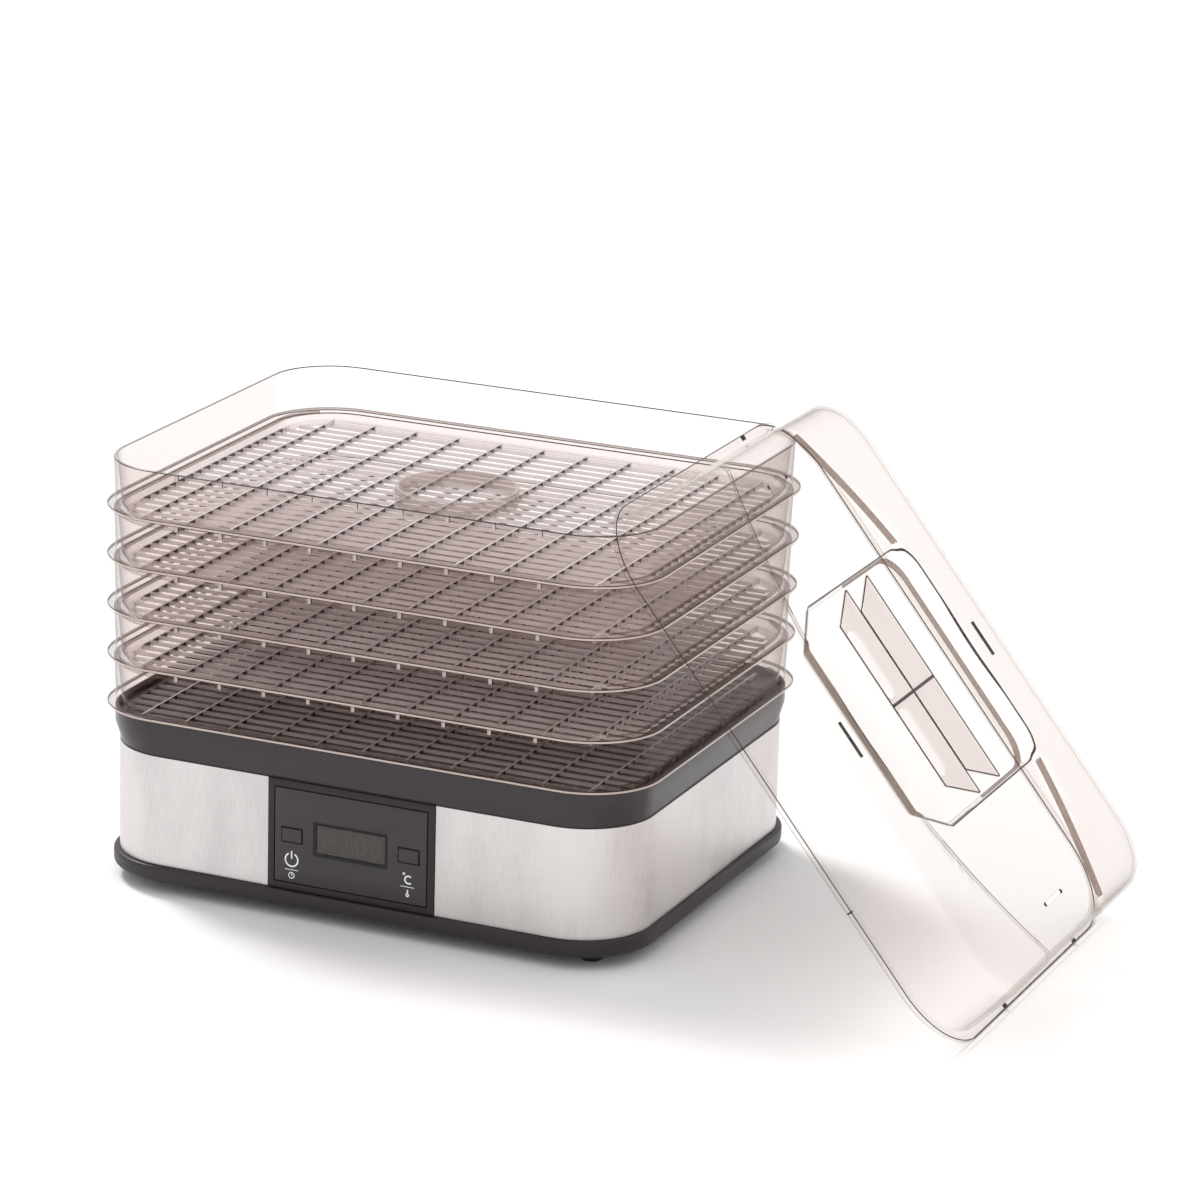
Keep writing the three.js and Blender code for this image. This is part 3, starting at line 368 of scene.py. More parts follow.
def block(low, high):
    """A plain block between two corners."""
    ends = np.array([low, high], float)
    pick = np.array([[0, 0], [1, 0], [1, 1], [0, 1]])
    flat = np.column_stack([ends[pick[:, 0], 0], ends[pick[:, 1], 1]])
    points = np.concatenate([np.column_stack([flat, np.full(4, z)]) for z in ends[:, 2]])
    return points, [[3, 2, 1, 0], [4, 5, 6, 7], [0, 1, 5, 4], [1, 2, 6, 5], [2, 3, 7, 6], [3, 0, 4, 7]]


def cut(made, *tools, finish=0):
    """Cuts holes of the tools' shapes, skins in millimetres, out of a piece. finish is the number of the
    material that the cut faces take."""
    for number, (points, faces) in enumerate(tools):
        mesh = bpy.data.meshes.new(f"tool_{number}")
        mesh.from_pydata(place(points).tolist(), [], faces)
        for material in made.data.materials:
            mesh.materials.append(material)
        mesh.polygons.foreach_set("material_index", np.full(len(faces), finish, np.int32))
        tool = put_in(mesh.name, mesh)
        step = made.modifiers.new("hole", "BOOLEAN")
        step.operation, step.solver, step.object = "DIFFERENCE", "EXACT", tool
        bpy.context.view_layer.update()
        result = bpy.data.meshes.new_from_object(made.evaluated_get(bpy.context.evaluated_depsgraph_get()))
        made.modifiers.clear()
        made.data = result
        bpy.data.objects.remove(tool)
    made.data.shade_smooth()
    made.data.set_sharp_from_angle(angle=CREASE)


board_low, board_high = box_mm("control_board")
post_low, post_high = box_mm("base_screw_1")
post_reach = np.abs((post_low + post_high) / 2)
post_profile = [(POST_BORE, SKIRT_BOTTOM + 2.8), (POST_RADIUS, SKIRT_BOTTOM + 2.8),
                (POST_RADIUS, DECK_BOTTOM + 0.5), (POST_BORE, DECK_BOTTOM + 0.5)]
posts = [shell(turned(post_profile, 24, sx * post_reach[0], sy * post_reach[1]))
         for sx in (-1, 1) for sy in (-1, 1)]
collar = piece("collar_and_deck", together(shell(housing()), *posts), "base",
               [gloss_abs], ["upper_housing"])
panel_way = PANEL_FRAME_HALF + 1
cut(collar, block((-panel_way, -COLLAR_DEPTH / 2 + 1.9, board_low[2] - 0.4),
                  (panel_way, -COLLAR_DEPTH / 2 + 12, board_high[2] + 0.4)))

# ---- Control panel ---------------------------------------------------------------------------------
# A satin black moulding that fills the gap in the band, with a fine groove around its face and openings
# for the display and the two push buttons. Its marks are printed in white.

panel_abs = moulded("panel_black_abs", (0.043, 0.036, 0.039), 0.34, relief=0.1, Specular_IOR_Level=0.35)
frame_abs = moulded("frame_black_abs", (0.028, 0.022, 0.025), 0.34, relief=0.05, Specular_IOR_Level=0.25)
# A near-black painted shadow for the walls of the panel's openings, standing for the shade inside the holes.
shadow_gap = moulded("painted_shadow_in_openings", (0.004, 0.004, 0.004), 0.6)
window_low, window_high = box_mm("display_window")
PANEL_FRONT = panel_low[1]
PANEL_PLATE = 3.2
GROOVE_INSET = 4.6
GROOVE_WIDTH = 0.7
WINDOW_FRAME = 1.7


def at_depth(flat, y):
    """A flat outline (x, z) stood upright at y."""
    return np.column_stack([flat[:, 0], np.full(len(flat), y), flat[:, 1]])


def upright(points, front, back):
    """A flat outline (x, z), anticlockwise as seen from the front, given a thickness along y."""
    outline = np.asarray(points, float)
    return shell(np.stack([at_depth(outline, y) for y in (back, front)]), closed=False)


def rectangle_at(x_low, x_high, z_low, z_high, radius=0.4):
    """A rounded rectangle in the plane of the panel."""
    return rounded_corners([(x_low, z_low), (x_high, z_low), (x_high, z_high), (x_low, z_high)], radius, 4)


def drawn_in(low, high, inset):
    """The outline of a box as seen from the front, drawn in by the inset, or grown where it is negative."""
    return rectangle_at(low[0] + inset, high[0] - inset, low[2] + inset, high[2] - inset)


def frame_block(x_low, x_high, z_low, z_high, width, front, back):
    """A four-sided frame of one width, as a skin between two outlines."""
    outer = rectangle_at(x_low, x_high, z_low, z_high, 1.0)
    inner = rectangle_at(x_low + width, x_high - width, z_low + width, z_high - width, 0.4)
    rings = [at_depth(*ring) for ring in ((inner, back), (outer, back), (outer, front), (inner, front))]
    return shell(np.stack(rings))


def opening(node, gap=0.6, flare=0.0):
    """A tool for the hole in front of a node, a little wider at the face than behind it where it flares."""
    low, high = box_mm(node)
    back, face = drawn_in(low, high, -gap), drawn_in(low, high, -gap - flare)
    rings = [at_depth(outline, PANEL_FRONT + y)
             for outline, y in ((back, 12), (back, 0.9), (face, -0.05), (face, -1))]
    return shell(np.stack(rings), closed=False)


def plate(margin, sunk):
    """Rings of a plate a margin inside the panel's outline: at its back, then at its front, drawn in at
    the rounded edge, which is sunk a little behind the panel's front."""
    front = PANEL_FRONT + sunk
    edge = [(0, PANEL_FRONT + PANEL_PLATE - sunk), (0, front + 0.4), (0.12, front + 0.12), (0.4, front)]
    rings = [at_depth(drawn_in(panel_low, panel_high, inset + margin), y) for inset, y in edge]
    return shell(np.stack(rings), closed=False)


panel = piece("panel_face", plate(GROOVE_INSET, 0), "base", [panel_abs, shadow_gap],
              ["control_panel"])
# The cut walls of the openings and the display window's flared bevel take the near-black painted shadow.
cut(panel, opening("display_window", 0.2, WINDOW_FRAME), opening("time_button"), opening("temp_button"),
    finish=1)
surround = piece("panel_surround", plate(0, 0.25), "base", [frame_abs])
cut(surround,
    upright(drawn_in(panel_low, panel_high, GROOVE_INSET - GROOVE_WIDTH), PANEL_FRONT - 1, PANEL_FRONT + 1.6),
    upright(drawn_in(panel_low, panel_high, GROOVE_INSET - 0.05), PANEL_FRONT - 1, PANEL_FRONT + 9))
piece("panel_frame",
      frame_block(-PANEL_FRAME_HALF, PANEL_FRAME_HALF, board_low[2], board_high[2], PANEL_FRAME_WALL,
                  PANEL_FRONT + PANEL_PLATE + 0.01, board_low[1] - 0.3),
      "base", [panel_abs])

# ---- Push buttons ----------------------------------------------------------------------------------
# Two small satin caps, each with a stem that reaches back to its switch on the board.


def cap(node):
    """A button: rings of a cap with rounded edges, and of the stem behind it."""
    low, high = box_mm(node)
    x, z = (low[0] + high[0]) / 2, (low[2] + high[2]) / 2
    half_x, half_z = (high[0] - low[0]) / 2, (high[2] - low[2]) / 2
    rings = []
    for inset, y in ((half_x - 2, high[1]), (half_x - 2, low[1] + 3.8), (0, low[1] + 3.8), (0, low[1] + 0.7),
                     (0.2, low[1] + 0.2), (0.7, low[1])):
        inset_z = half_z - 2 if inset == half_x - 2 else inset
        o = rectangle_at(x - half_x + inset, x + half_x - inset,
                         z - half_z + inset_z, z + half_z - inset_z, 0.6)
        rings.append(at_depth(o, y))
    return shell(np.stack(rings), closed=False)


button_abs = moulded("button_black_abs", (0.044, 0.037, 0.040), 0.36, relief=0.15, Specular_IOR_Level=0.35)
for node in ("time_button", "temp_button"):
    piece(f"{node}_cap", cap(node), node, [button_abs], [node])

# ---- Display ---------------------------------------------------------------------------------------
# A smoked window over a dark module. The module's unlit segments show faintly, as four digits.

window_smoke = moulded("smoked_window", (0.10, 0.085, 0.078), 0.12, relief=0.01, Alpha=0.45)
module_face = moulded("display_module_face", (0.075, 0.066, 0.060), 0.5)
unlit = moulded("unlit_segments", (0.145, 0.125, 0.105), 0.5)
ink = moulded("white_panel_ink", (0.82, 0.82, 0.82), 0.5)
DIGIT_WIDTH = 5.2
DIGIT_HEIGHT = 9.6
DIGIT_STROKE = 1.0
DOT_RADIUS = 0.6
SEGMENT_THICK = 0.12


def stroke(points, width, front, back):
    """A line of one width through the points, laid on the panel. Each side of it is the line moved by half
    the width along its normal."""
    line = np.asarray(points, float)
    run = np.gradient(line, axis=0)
    run /= np.linalg.norm(run, axis=1)[:, None]
    side = np.column_stack([run[:, 1], -run[:, 0]]) * width / 2
    right, left = line + side, line - side
    corners = ((right, back), (right, front), (left, front), (left, back))
    rings = np.stack([at_depth(*corner) for corner in corners], 1)
    return shell(rings[::-1], closed=False)


def digit(x, z, front, back):
    """The seven strokes of one digit about (x, z)."""
    w, h, gap = DIGIT_WIDTH / 2, DIGIT_HEIGHT / 2, 0.35
    across = [[(x - w + gap, z + level), (x + w - gap, z + level)] for level in (-h, 0, h)]
    upright_strokes = [[(x + side, z + low + gap), (x + side, z + low + h - gap)]
                       for side in (-w, w) for low in (-h, 0)]
    return [stroke(line, DIGIT_STROKE, front, back) for line in across + upright_strokes]


middle_z = (window_low[2] + window_high[2]) / 2
module_front = box_mm("display_module")[0][1]
segment_front = module_front - SEGMENT_THICK
piece("window_pane", upright(drawn_in(window_low, window_high, 0.2), window_low[1], window_high[1]),
      "base", [window_smoke], ["display_window"])
digits = [part for x in (-14.4, -5.6, 5.6, 14.4) for part in digit(x, middle_z, segment_front, module_front)]
turn = np.linspace(0, 2 * np.pi, 12, endpoint=False)
dot = DOT_RADIUS * np.column_stack([np.cos(turn), np.sin(turn)])
dots = [upright(dot + [0, middle_z + rise], segment_front, module_front) for rise in (-2.2, 2.2)]
piece("display_segments", together(*digits, *dots), "base", [unlit])

PRINT_FRONT, PRINT_BACK = PANEL_FRONT - 0.08, PANEL_FRONT + 0.02
PRINT_LINE = 0.85


def arc_points(x, z, radius, start, end, count=28):
    """Points along an arc in the plane of the panel, between two angles in degrees."""
    angle = np.radians(np.linspace(start, end, count))
    return np.column_stack([x + radius * np.cos(angle), z + radius * np.sin(angle)])


def printed(points, width=PRINT_LINE):
    """A printed line through the points."""
    return stroke(points, width, PRINT_FRONT, PRINT_BACK)


POWER_X, POWER_Z = -36.3, 35.0
DEGREE_X, DEGREE_Z = 35.6, 35.6
power_mark = [
    printed(arc_points(POWER_X, POWER_Z, 3.9, 118, 422)),
    printed([(POWER_X, POWER_Z + 0.6), (POWER_X, POWER_Z + 5.2)]),
    printed([(POWER_X - 4.1, POWER_Z - 5.9), (POWER_X + 4.1, POWER_Z - 5.9)], 0.35),
    printed(arc_points(POWER_X, POWER_Z - 9.2, 1.7, 0, 360), 0.5),
    printed([(POWER_X, POWER_Z - 9.2), (POWER_X, POWER_Z - 8.0)], 0.4),
    printed([(POWER_X, POWER_Z - 9.2), (POWER_X + 0.9, POWER_Z - 9.2)], 0.4)]
degree_mark = [
    printed(arc_points(DEGREE_X - 2.3, DEGREE_Z + 3.3, 0.55, 0, 360), 0.5),
    printed(arc_points(DEGREE_X + 0.6, DEGREE_Z, 2.2, 48, 312)),
    printed([(DEGREE_X - 4.3, DEGREE_Z - 4.2), (DEGREE_X + 4.1, DEGREE_Z - 4.2)], 0.35),
    printed(arc_points(DEGREE_X, DEGREE_Z - 9.0, 0.75, 110, 430), 0.7),
    printed([(DEGREE_X, DEGREE_Z - 8.3), (DEGREE_X, DEGREE_Z - 5.9)], 0.8)]
piece("panel_marks", together(*power_mark, *degree_mark), "base", [ink])

# ---- Power inlet -----------------------------------------------------------------------------------
# The rubber-lined gland at the back that the cord goes through, turned as one stepped sleeve.

inlet_low, inlet_high = box_mm("power_inlet")


def sleeve():
    """Rings of the gland: its stepped profile (radius, y) turned about an axis along y."""
    x, z = (inlet_low[0] + inlet_high[0]) / 2, (inlet_low[2] + inlet_high[2]) / 2
    flange = (inlet_high[0] - inlet_low[0]) / 2
    out = inlet_high[1]
    profile = rounded_corners(
        [(3.5, inlet_low[1]), (6, inlet_low[1]), (6, out - 9), (flange, out - 9), (flange, out - 6),
         (5.4, out - 5), (4.7, out), (3.5, out)], [0.3, 0.3, 0.2, 0.6, 0.9, 0.8, 0.4, 0.3], 4)
    rings = turned(profile, 40)
    return np.stack([x + rings[..., 0], rings[..., 2], z - rings[..., 1]], 2)


inlet_abs = moulded("inlet_black_abs", (0.02, 0.02, 0.02), 0.55)
piece("inlet_gland", shell(sleeve()), "base", [inlet_abs], ["power_inlet"])

# ---- Fan, heater and screws ------------------------------------------------------------------------
# What sits inside the base keeps its CAD shape: a shaded-pole motor on a folded steel strap, a pressed
# fan, a sheathed ring heater on a mica cross in a sheet-metal duct, and the boards behind the panel.

grille_abs = moulded("grille_black_abs", (0.02, 0.019, 0.019), 0.5)
mica = moulded("pressed_mica", (0.42, 0.31, 0.15), 0.7, grain=260, relief=0.5)
ceramic = moulded("glazed_ceramic", (0.66, 0.63, 0.56), 0.25)
lacquered_board = moulded("lacquered_board", (0.02, 0.12, 0.045), 0.35, grain=700)
zinc_sheet = brushed("zinc_coated_sheet", (0.62, 0.62, 0.62), 0.42, (6, 6, 6))
plated_screw = brushed("plated_screw", (0.42, 0.42, 0.43), 0.35, (3, 3, 3))
painted_can = moulded("painted_motor_can", (0.06, 0.06, 0.065), 0.4, Metallic=0.6)
pressed_fan = brushed("pressed_aluminium", (0.68, 0.69, 0.70), 0.38, (8, 8, 2))
heater_sheath = moulded("oxidised_sheath", (0.09, 0.075, 0.065), 0.55, grain=400, relief=0.4, Metallic=0.8)
finishes = {
    "air_grille": grille_abs, "intake_grille": grille_abs, "heater_frame": mica, "thermal_fuse": ceramic,
    "control_board": lacquered_board, "display_module": module_face, "motor_bracket": zinc_sheet,
    "air_duct": zinc_sheet, "thermostat": zinc_sheet, "fan_shaft": zinc_sheet, "fan_motor": painted_can,
    "fan_blades": pressed_fan, "heater_ring": heater_sheath}
finishes.update({name: plated_screw for name in frame["nodes"] if "screw" in name})
for name, material in finishes.items():
    node = frame["nodes"][name]
    node.data.materials.clear()
    node.data.materials.append(material)

# ---- Trays -----------------------------------------------------------------------------------------
# Five equal trays, each moulded in one piece of clear smoke-tinted plastic: a drafted wall on a rounded
# lip, a spigot that drops inside what is below, and a floor of sloping slats between thin cross ribs.

first_low, first_high = box_mm("tray_1")
LIP_LENGTH, LIP_DEPTH = first_high[:2] - first_low[:2]
LIP_REACH = 3.8
TRAY_LENGTH, TRAY_DEPTH = LIP_LENGTH - 2 * LIP_REACH, LIP_DEPTH - 2 * LIP_REACH
TRAY_CORNER = 39
TRAY_WALL = 1.9
TRAY_DRAFT = 1.3
SPIGOT_DROP = 5.2
SPIGOT_INSET = 2.9
FLOOR_TOP = -2.6
OPEN_LENGTH = 310
OPEN_DEPTH = 234.6
OPEN_CORNER = 28
COLUMN_PITCH = 27.6
COLUMNS = COLUMN_PITCH * np.arange(-5, 6)
ROW_PITCH = 10.2
ROWS = ROW_PITCH * np.arange(-11, 12)
SLAT_HALF = ROW_PITCH / 2
SLAT_TOP = FLOOR_TOP + 0.4
SLAT_SLOT = 1.2
SLAT_DROP = 2.5
SLAT_THICK = 0.5
SLAT_FRONT = 2.2
RIB_WIDTH = 1.3
RING_RADIUS = 35.2
RING_WALL = 2.2
RING_HEIGHT = 8.3
TAB_HEIGHT = 4.4


def clear_plastic(name, tint, body, least, most, roughness=0.07):
    """Clear tinted plastic. What is behind shows through in the colour of the tint, and the surface's own
    share is least + (most - least) * facing ** 4, with facing 0 seen square on and 1 seen along the sheet.
    A third of that share holds back light on its way from a lamp, because clear plastic lets it on."""
    material, shader = new_material(name)
    shader.inputs["Base Color"].default_value = (*body, 1)
    shader.inputs["Specular IOR Level"].default_value = 0.6
    through = add(material, "BsdfTransparent", {"Color": (*tint, 1)})
    turn = add(material, "LayerWeight", {"Blend": 0.5})
    steep = add(material, "Math", {1: 4}, operation="POWER")
    share = add(material, "MapRange", {"To Min": least, "To Max": most})
    path = add(material, "LightPath")
    let_on = add(material, "Math", {1: -2 / 3, 2: 1}, operation="MULTIPLY_ADD")
    held = add(material, "Math", operation="MULTIPLY")
    mix = add(material, "MixShader")
    where = add(material, "TexCoord")
    ripple = add(material, "TexNoise", {"Scale": 35})
    gloss = add(material, "MapRange", {"To Min": roughness * 0.6, "To Max": roughness * 1.5})
    bump = add(material, "Bump", {"Strength": 0.08, "Distance": 0.0004})
    join(material, (where, "Object", ripple, "Vector"), (ripple, "Fac", gloss, "Value"),
         (gloss, "Result", shader, "Roughness"), (ripple, "Fac", bump, "Height"),
         (bump, "Normal", shader, "Normal"), (turn, "Facing", steep, 0), (steep, 0, share, "Value"),
         (path, "Is Shadow Ray", let_on, 0), (let_on, 0, held, 0), (share, "Result", held, 1),
         (held, 0, mix, "Fac"), (through, 0, mix, 1), (shader, 0, mix, 2),
         (mix, 0, material.node_tree.nodes["Material Output"], "Surface"))
    return material


wall_plastic = clear_plastic("smoke_tray_wall", (0.968, 0.942, 0.936), (0.13, 0.10, 0.095), 0.02, 0.9)
slat_plastic = clear_plastic("smoke_tray_slat", (0.96, 0.94, 0.94), (0.80, 0.745, 0.74), 0.64, 0.85)
ring_plastic = clear_plastic("smoke_tray_ring", (0.90, 0.86, 0.84), (0.56, 0.50, 0.48), 0.26, 0.9)
# Near-black painted shade for the thin dark lines at the trays' rims, lip edges, rib sides and tab ends.
edge_shade_plastic = clear_plastic("smoke_tray_painted_edge_shade", (0.30, 0.24, 0.22), (0.026, 0.018, 0.017), 0.85, 0.97)
# A painted cream highlight on the lip's straight front face.
lip_highlight_plastic = clear_plastic("smoke_tray_lip_painted_highlight", (0.97, 0.90, 0.86), (0.86, 0.71, 0.62), 0.60, 0.85)
# Painted brown shade on the wall's inner fillet, along the two ends only.
shade_plastic = clear_plastic("smoke_tray_fillet_painted_shade", (0.72, 0.63, 0.60), (0.20, 0.15, 0.14), 0.42, 0.9)
tray_finishes = [wall_plastic, slat_plastic, edge_shade_plastic, lip_highlight_plastic, shade_plastic, ring_plastic]
WALL, SLAT, EDGE_SHADE, LIP, SHADE, RING = range(6)
# Levels of the tray's section that take the near-black painted edge shade.
EDGE_LEVELS = [16, 17, 18, 19, 21, 22, 23, 24, 31, 32, 33, 37, 38]
# The level of the lip's front, which takes the painted highlight.
LIP_HIGHLIGHT_LEVELS = [20]
# Levels of the inner fillet, which take the painted shade at the two ends.
FILLET_LEVELS = [41, 42, 43, 44]


def tray_shell():
    """Rings of the wall, lip, spigot and floor border, around the closed section from the open floor's
    edge outward below, up the outside, over the rim and back down the inside. The first ring and the last
    are the open floor's own edge."""
    height = first_high[2] - first_low[2] - SPIGOT_DROP
    foot = -TRAY_DRAFT
    spigot = -SPIGOT_INSET
    section = rounded_corners(
        [(spigot - 8, -SPIGOT_DROP), (spigot, -SPIGOT_DROP), (spigot, 0), (LIP_REACH, 0), (LIP_REACH, 1.9),
         (foot + 0.2, 2.1), (0, height), (-TRAY_WALL, height), (spigot - 1.6, 0.6), (spigot - 3.6, 0.2),
         (spigot - 4.2, FLOOR_TOP), (spigot - 8, FLOOR_TOP)],
        [0.1, 1.2, 0.5, 0.42, 0.42, 0.8, 0.6, 0.6, 2.2, 0.7, 0.6, 0.1], 5)
    rings = wrapped(section, TRAY_LENGTH, TRAY_DEPTH, TRAY_CORNER, 14)
    edge = rounded_rectangle(OPEN_LENGTH, OPEN_DEPTH, OPEN_CORNER, 14)
    return np.concatenate([rings_at([edge], [-SPIGOT_DROP]), rings, rings_at([edge], [FLOOR_TOP])])


def bars(x_low, x_high, y, section):
    """Many straight bars along x at once: a section (y, z), moved to each bar's y and drawn from its lower
    to its upper x. Each bar has one face for each side of the section, then its upper and lower end."""
    section = np.asarray(section, float)
    count = len(section)
    ends = np.stack([x_low, x_high], 1)
    points = np.empty((len(ends), 2, count, 3))
    points[..., 0] = ends[:, :, None]
    points[..., 1] = section[:, 0] + np.asarray(y)[:, None, None]
    points[..., 2] = section[:, 1]
    k = np.arange(count)
    sides = np.stack([k, (k + 1) % count, (k + 1) % count + count, k + count], 1)
    one = [*sides.tolist(), (k + count).tolist(), k[::-1].tolist()]
    faces = [[n + 2 * count * bar for n in face] for bar in range(len(ends)) for face in one]
    return points.reshape(-1, 3), faces


def open_half_length(y):
    """Half the length of the open floor at each y: full between the corner arcs, less along them."""
    over = np.clip(np.abs(y) - (OPEN_DEPTH / 2 - OPEN_CORNER), 0, OPEN_CORNER)
    return OPEN_LENGTH / 2 - OPEN_CORNER + np.sqrt(OPEN_CORNER ** 2 - over ** 2)


def slats():
    """The sloping slats: one in each row and column, trimmed to the open floor. Each falls from the ribs'
    top at its deep front to a thin back edge, which leaves a slot before the next slat's front."""
    walls = np.concatenate([[-OPEN_LENGTH / 2 - 2], COLUMNS, [OPEN_LENGTH / 2 + 2]])
    y, left = [a.ravel() for a in np.meshgrid(ROWS, walls[:-1], indexing="ij")]
    right = np.broadcast_to(walls[1:], (len(ROWS), len(walls) - 1)).ravel()
    reach = open_half_length(np.abs(y) + SLAT_HALF - 1) + 1
    left, right = np.maximum(left, -reach), np.minimum(right, reach)
    kept = right - left > 3
    back, fallen = SLAT_HALF - SLAT_SLOT, SLAT_TOP - SLAT_DROP
    section = [(-SLAT_HALF, SLAT_TOP - SLAT_FRONT), (back, fallen - SLAT_THICK), (back, fallen),
               (-SLAT_HALF, SLAT_TOP)]
    return bars(left[kept], right[kept], y[kept], section)


def ribs():
    """The cross ribs, from the front of the open floor to its back, flush with the slats' upper edges."""
    half = OPEN_DEPTH / 2 + 1
    section = [(-half, -SPIGOT_DROP), (half, -SPIGOT_DROP), (half, FLOOR_TOP + 0.5), (-half, FLOOR_TOP + 0.5)]
    return bars(COLUMNS - RIB_WIDTH / 2, COLUMNS + RIB_WIDTH / 2, np.zeros(len(COLUMNS)), section)


def rib_shade_triangles():
    """The three-cornered sides of the ribs that stand clear of the slats, as thin sheets a hair proud of each
    rib that carry near-black painted shade, and the same on the open floor's two ends."""
    low = np.concatenate([COLUMNS - RIB_WIDTH / 2, [-OPEN_LENGTH / 2 - 1, OPEN_LENGTH / 2]])
    high = np.concatenate([low[:-2] + RIB_WIDTH, [-OPEN_LENGTH / 2, OPEN_LENGTH / 2 + 1]])
    y, low = [a.ravel() for a in np.meshgrid(ROWS, low, indexing="ij")]
    high = np.broadcast_to(high, (len(ROWS), len(high))).ravel()
    kept = np.maximum(np.abs(low), np.abs(high)) - 1 <= open_half_length(np.abs(y) + SLAT_HALF - 1) + 0.1
    back, under = SLAT_HALF - SLAT_SLOT, SLAT_TOP - 0.1
    section = [(-SLAT_HALF + 1.5, under), (back, SLAT_TOP - SLAT_DROP + 0.1), (back, under)]
    return bars(low[kept] - 0.05, high[kept] + 0.05, y[kept], section)


def tabs():
    """Short upright ribs inside the front wall, under the rim, at all but the outermost columns."""
    x = COLUMNS[1:-1]
    height = first_high[2] - first_low[2] - SPIGOT_DROP
    y = np.full(len(x), TRAY_WALL - TRAY_DEPTH / 2)
    low, high = height - TAB_HEIGHT, height - 0.3
    section = [(-0.6, low), (0.6, low), (0.6, high), (-0.6, high)]
    return bars(x - 1.1, x + 1.1, y, section)


def middle_ring():
    """The ring in the middle of the floor: a rounded wall turned about the tray's middle."""
    outer, inner = RING_RADIUS, RING_RADIUS - RING_WALL
    top = FLOOR_TOP - 0.6 + RING_HEIGHT
    return shell(turned(rounded_corners(
        [(inner, -SPIGOT_DROP), (outer, -SPIGOT_DROP), (outer, top), (inner, top)], 0.5, 4), 72))


def tray_skin():
    """All of one tray with its lip's underside at z = 0, and the finish of each face: rims and lip edges and
    the sides of the ribs take near-black painted shade for the dark lines that clear plastic shows at its
    edges;
    the lip's front takes a painted cream highlight, and the inner fillet at the two ends a painted brown
    shade."""
    rings = tray_shell()
    outer = shell(rings)
    parts = [(slats(), SLAT), (ribs(), SLAT), (rib_shade_triangles(), EDGE_SHADE), (middle_ring(), RING)]
    level, place_around = np.divmod(np.arange(len(outer[1])), rings.shape[1])
    # The painted fillet shade goes only on the fillet along the two ends.
    at_ends = np.abs(rings[0, place_around, 1]) < TRAY_DEPTH / 2 - TRAY_CORNER / 2
    finish = [np.select(
        [np.isin(level, EDGE_LEVELS), np.isin(level, LIP_HIGHLIGHT_LEVELS), np.isin(level, FILLET_LEVELS) & at_ends],
        [EDGE_SHADE, LIP, SHADE], WALL)]
    finish += [np.full(len(part[1]), which) for part, which in parts]
    # The tabs' four long faces are slat plastic, and their two ends take the near-black painted edge shade.
    finish.append(np.tile([SLAT, SLAT, SLAT, SLAT, EDGE_SHADE, EDGE_SHADE], len(COLUMNS) - 2))
    return together(outer, *[part for part, _ in parts], tabs()), np.concatenate(finish)


(tray_points, tray_faces), tray_finish = tray_skin()
for number in range(1, 6):
    low, high = box_mm(f"tray_{number}")
    lifted = tray_points + [0, 0, low[2] + SPIGOT_DROP]
    piece(f"tray_{number}_moulding", (lifted, tray_faces), f"tray_{number}",
          tray_finishes, [f"tray_{number}"], tray_finish)

# ---- Lid -------------------------------------------------------------------------------------------
# The clear lid stands on its low end and leans on the top tray's rim. It is one thin moulding: a lip, a
# drafted wall with a rounded top edge, a sunk channel along its top, and a deeper pocket for the vent.

lid_low, lid_high = box_mm("lid")
LEAN_SINE, _, LEAN_COSINE = next(j["axis"] for j in frame["joints"] if j["name"] == "lid_lift")
ALONG = np.array([-LEAN_COSINE, 0, LEAN_SINE])
ACROSS = np.array([0, -1, 0])
OUTWARD = np.array([LEAN_SINE, 0, LEAN_COSINE])
LID_MIDDLE = np.array([lid_low[0] + LIP_LENGTH / 2 * LEAN_COSINE, (lid_low[1] + lid_high[1]) / 2,
                       lid_low[2] + LIP_LENGTH / 2 * LEAN_SINE])
LID_CORNER = 42.8
LID_HEIGHT = 42.1
LID_WALL = 1.4
LID_FOOT_INSET = 5
LID_DRAFT = 3.8
LID_ROUND = 7.8
CHANNEL_DEPTH = 2.6
CHANNEL_HALF = 84
CHANNEL_HALF_END = 42
CHANNEL_STEP = 4
POCKET_HALF_LENGTH = 69.5
POCKET_HALF_WIDTH = 84
POCKET_DEPTH = 6
LID_SIDE_STEPS = 110
STEP_RING = 15
STEP_RINGS = 4


def leaned(points):
    """Points of the lid's own frame (along its length towards its upper end, towards the front, outward)
    moved to where it leans."""
    points = np.asarray(points, float)
    return LID_MIDDLE + points[..., :1] * ALONG + points[..., 1:2] * ACROSS + points[..., 2:] * OUTWARD


def in_directions(shape, directions):
    """The points of a closed shape about the middle that lie in the given directions, by its radius as a
    function of the angle."""
    angle = np.arctan2(shape[:, 1], shape[:, 0])
    order = np.argsort(angle)
    radius = np.hypot(shape[:, 0], shape[:, 1])
    wanted = np.arctan2(directions[:, 1], directions[:, 0])
    found = np.interp(wanted, angle[order], radius[order], period=2 * np.pi)
    return found[:, None] * np.column_stack([np.cos(wanted), np.sin(wanted)])


def dense(polygon, steps=40):
    """A closed polygon with equal steps put in along each side."""
    share = (np.arange(steps) / steps)[None, :, None]
    return (polygon[:, None] + (np.roll(polygon, -1, 0) - polygon)[:, None] * share).reshape(-1, 2)


def pocket_outline(grow, scoop=0.0):
    """The pocket's outline: cut corners towards the front, and long rounded corners towards the back, where
    its wall is a long slope that reaches in by the scoop."""
    x, y = POCKET_HALF_LENGTH + grow, POCKET_HALF_WIDTH + grow
    corners = [(x, scoop - y), (x, y - 31), (x - 18, y), (-x + 18, y), (-x, y - 31), (-x, scoop - y)]
    return dense(rounded_corners(corners, [17, 3, 3, 3, 3, 17], 9))


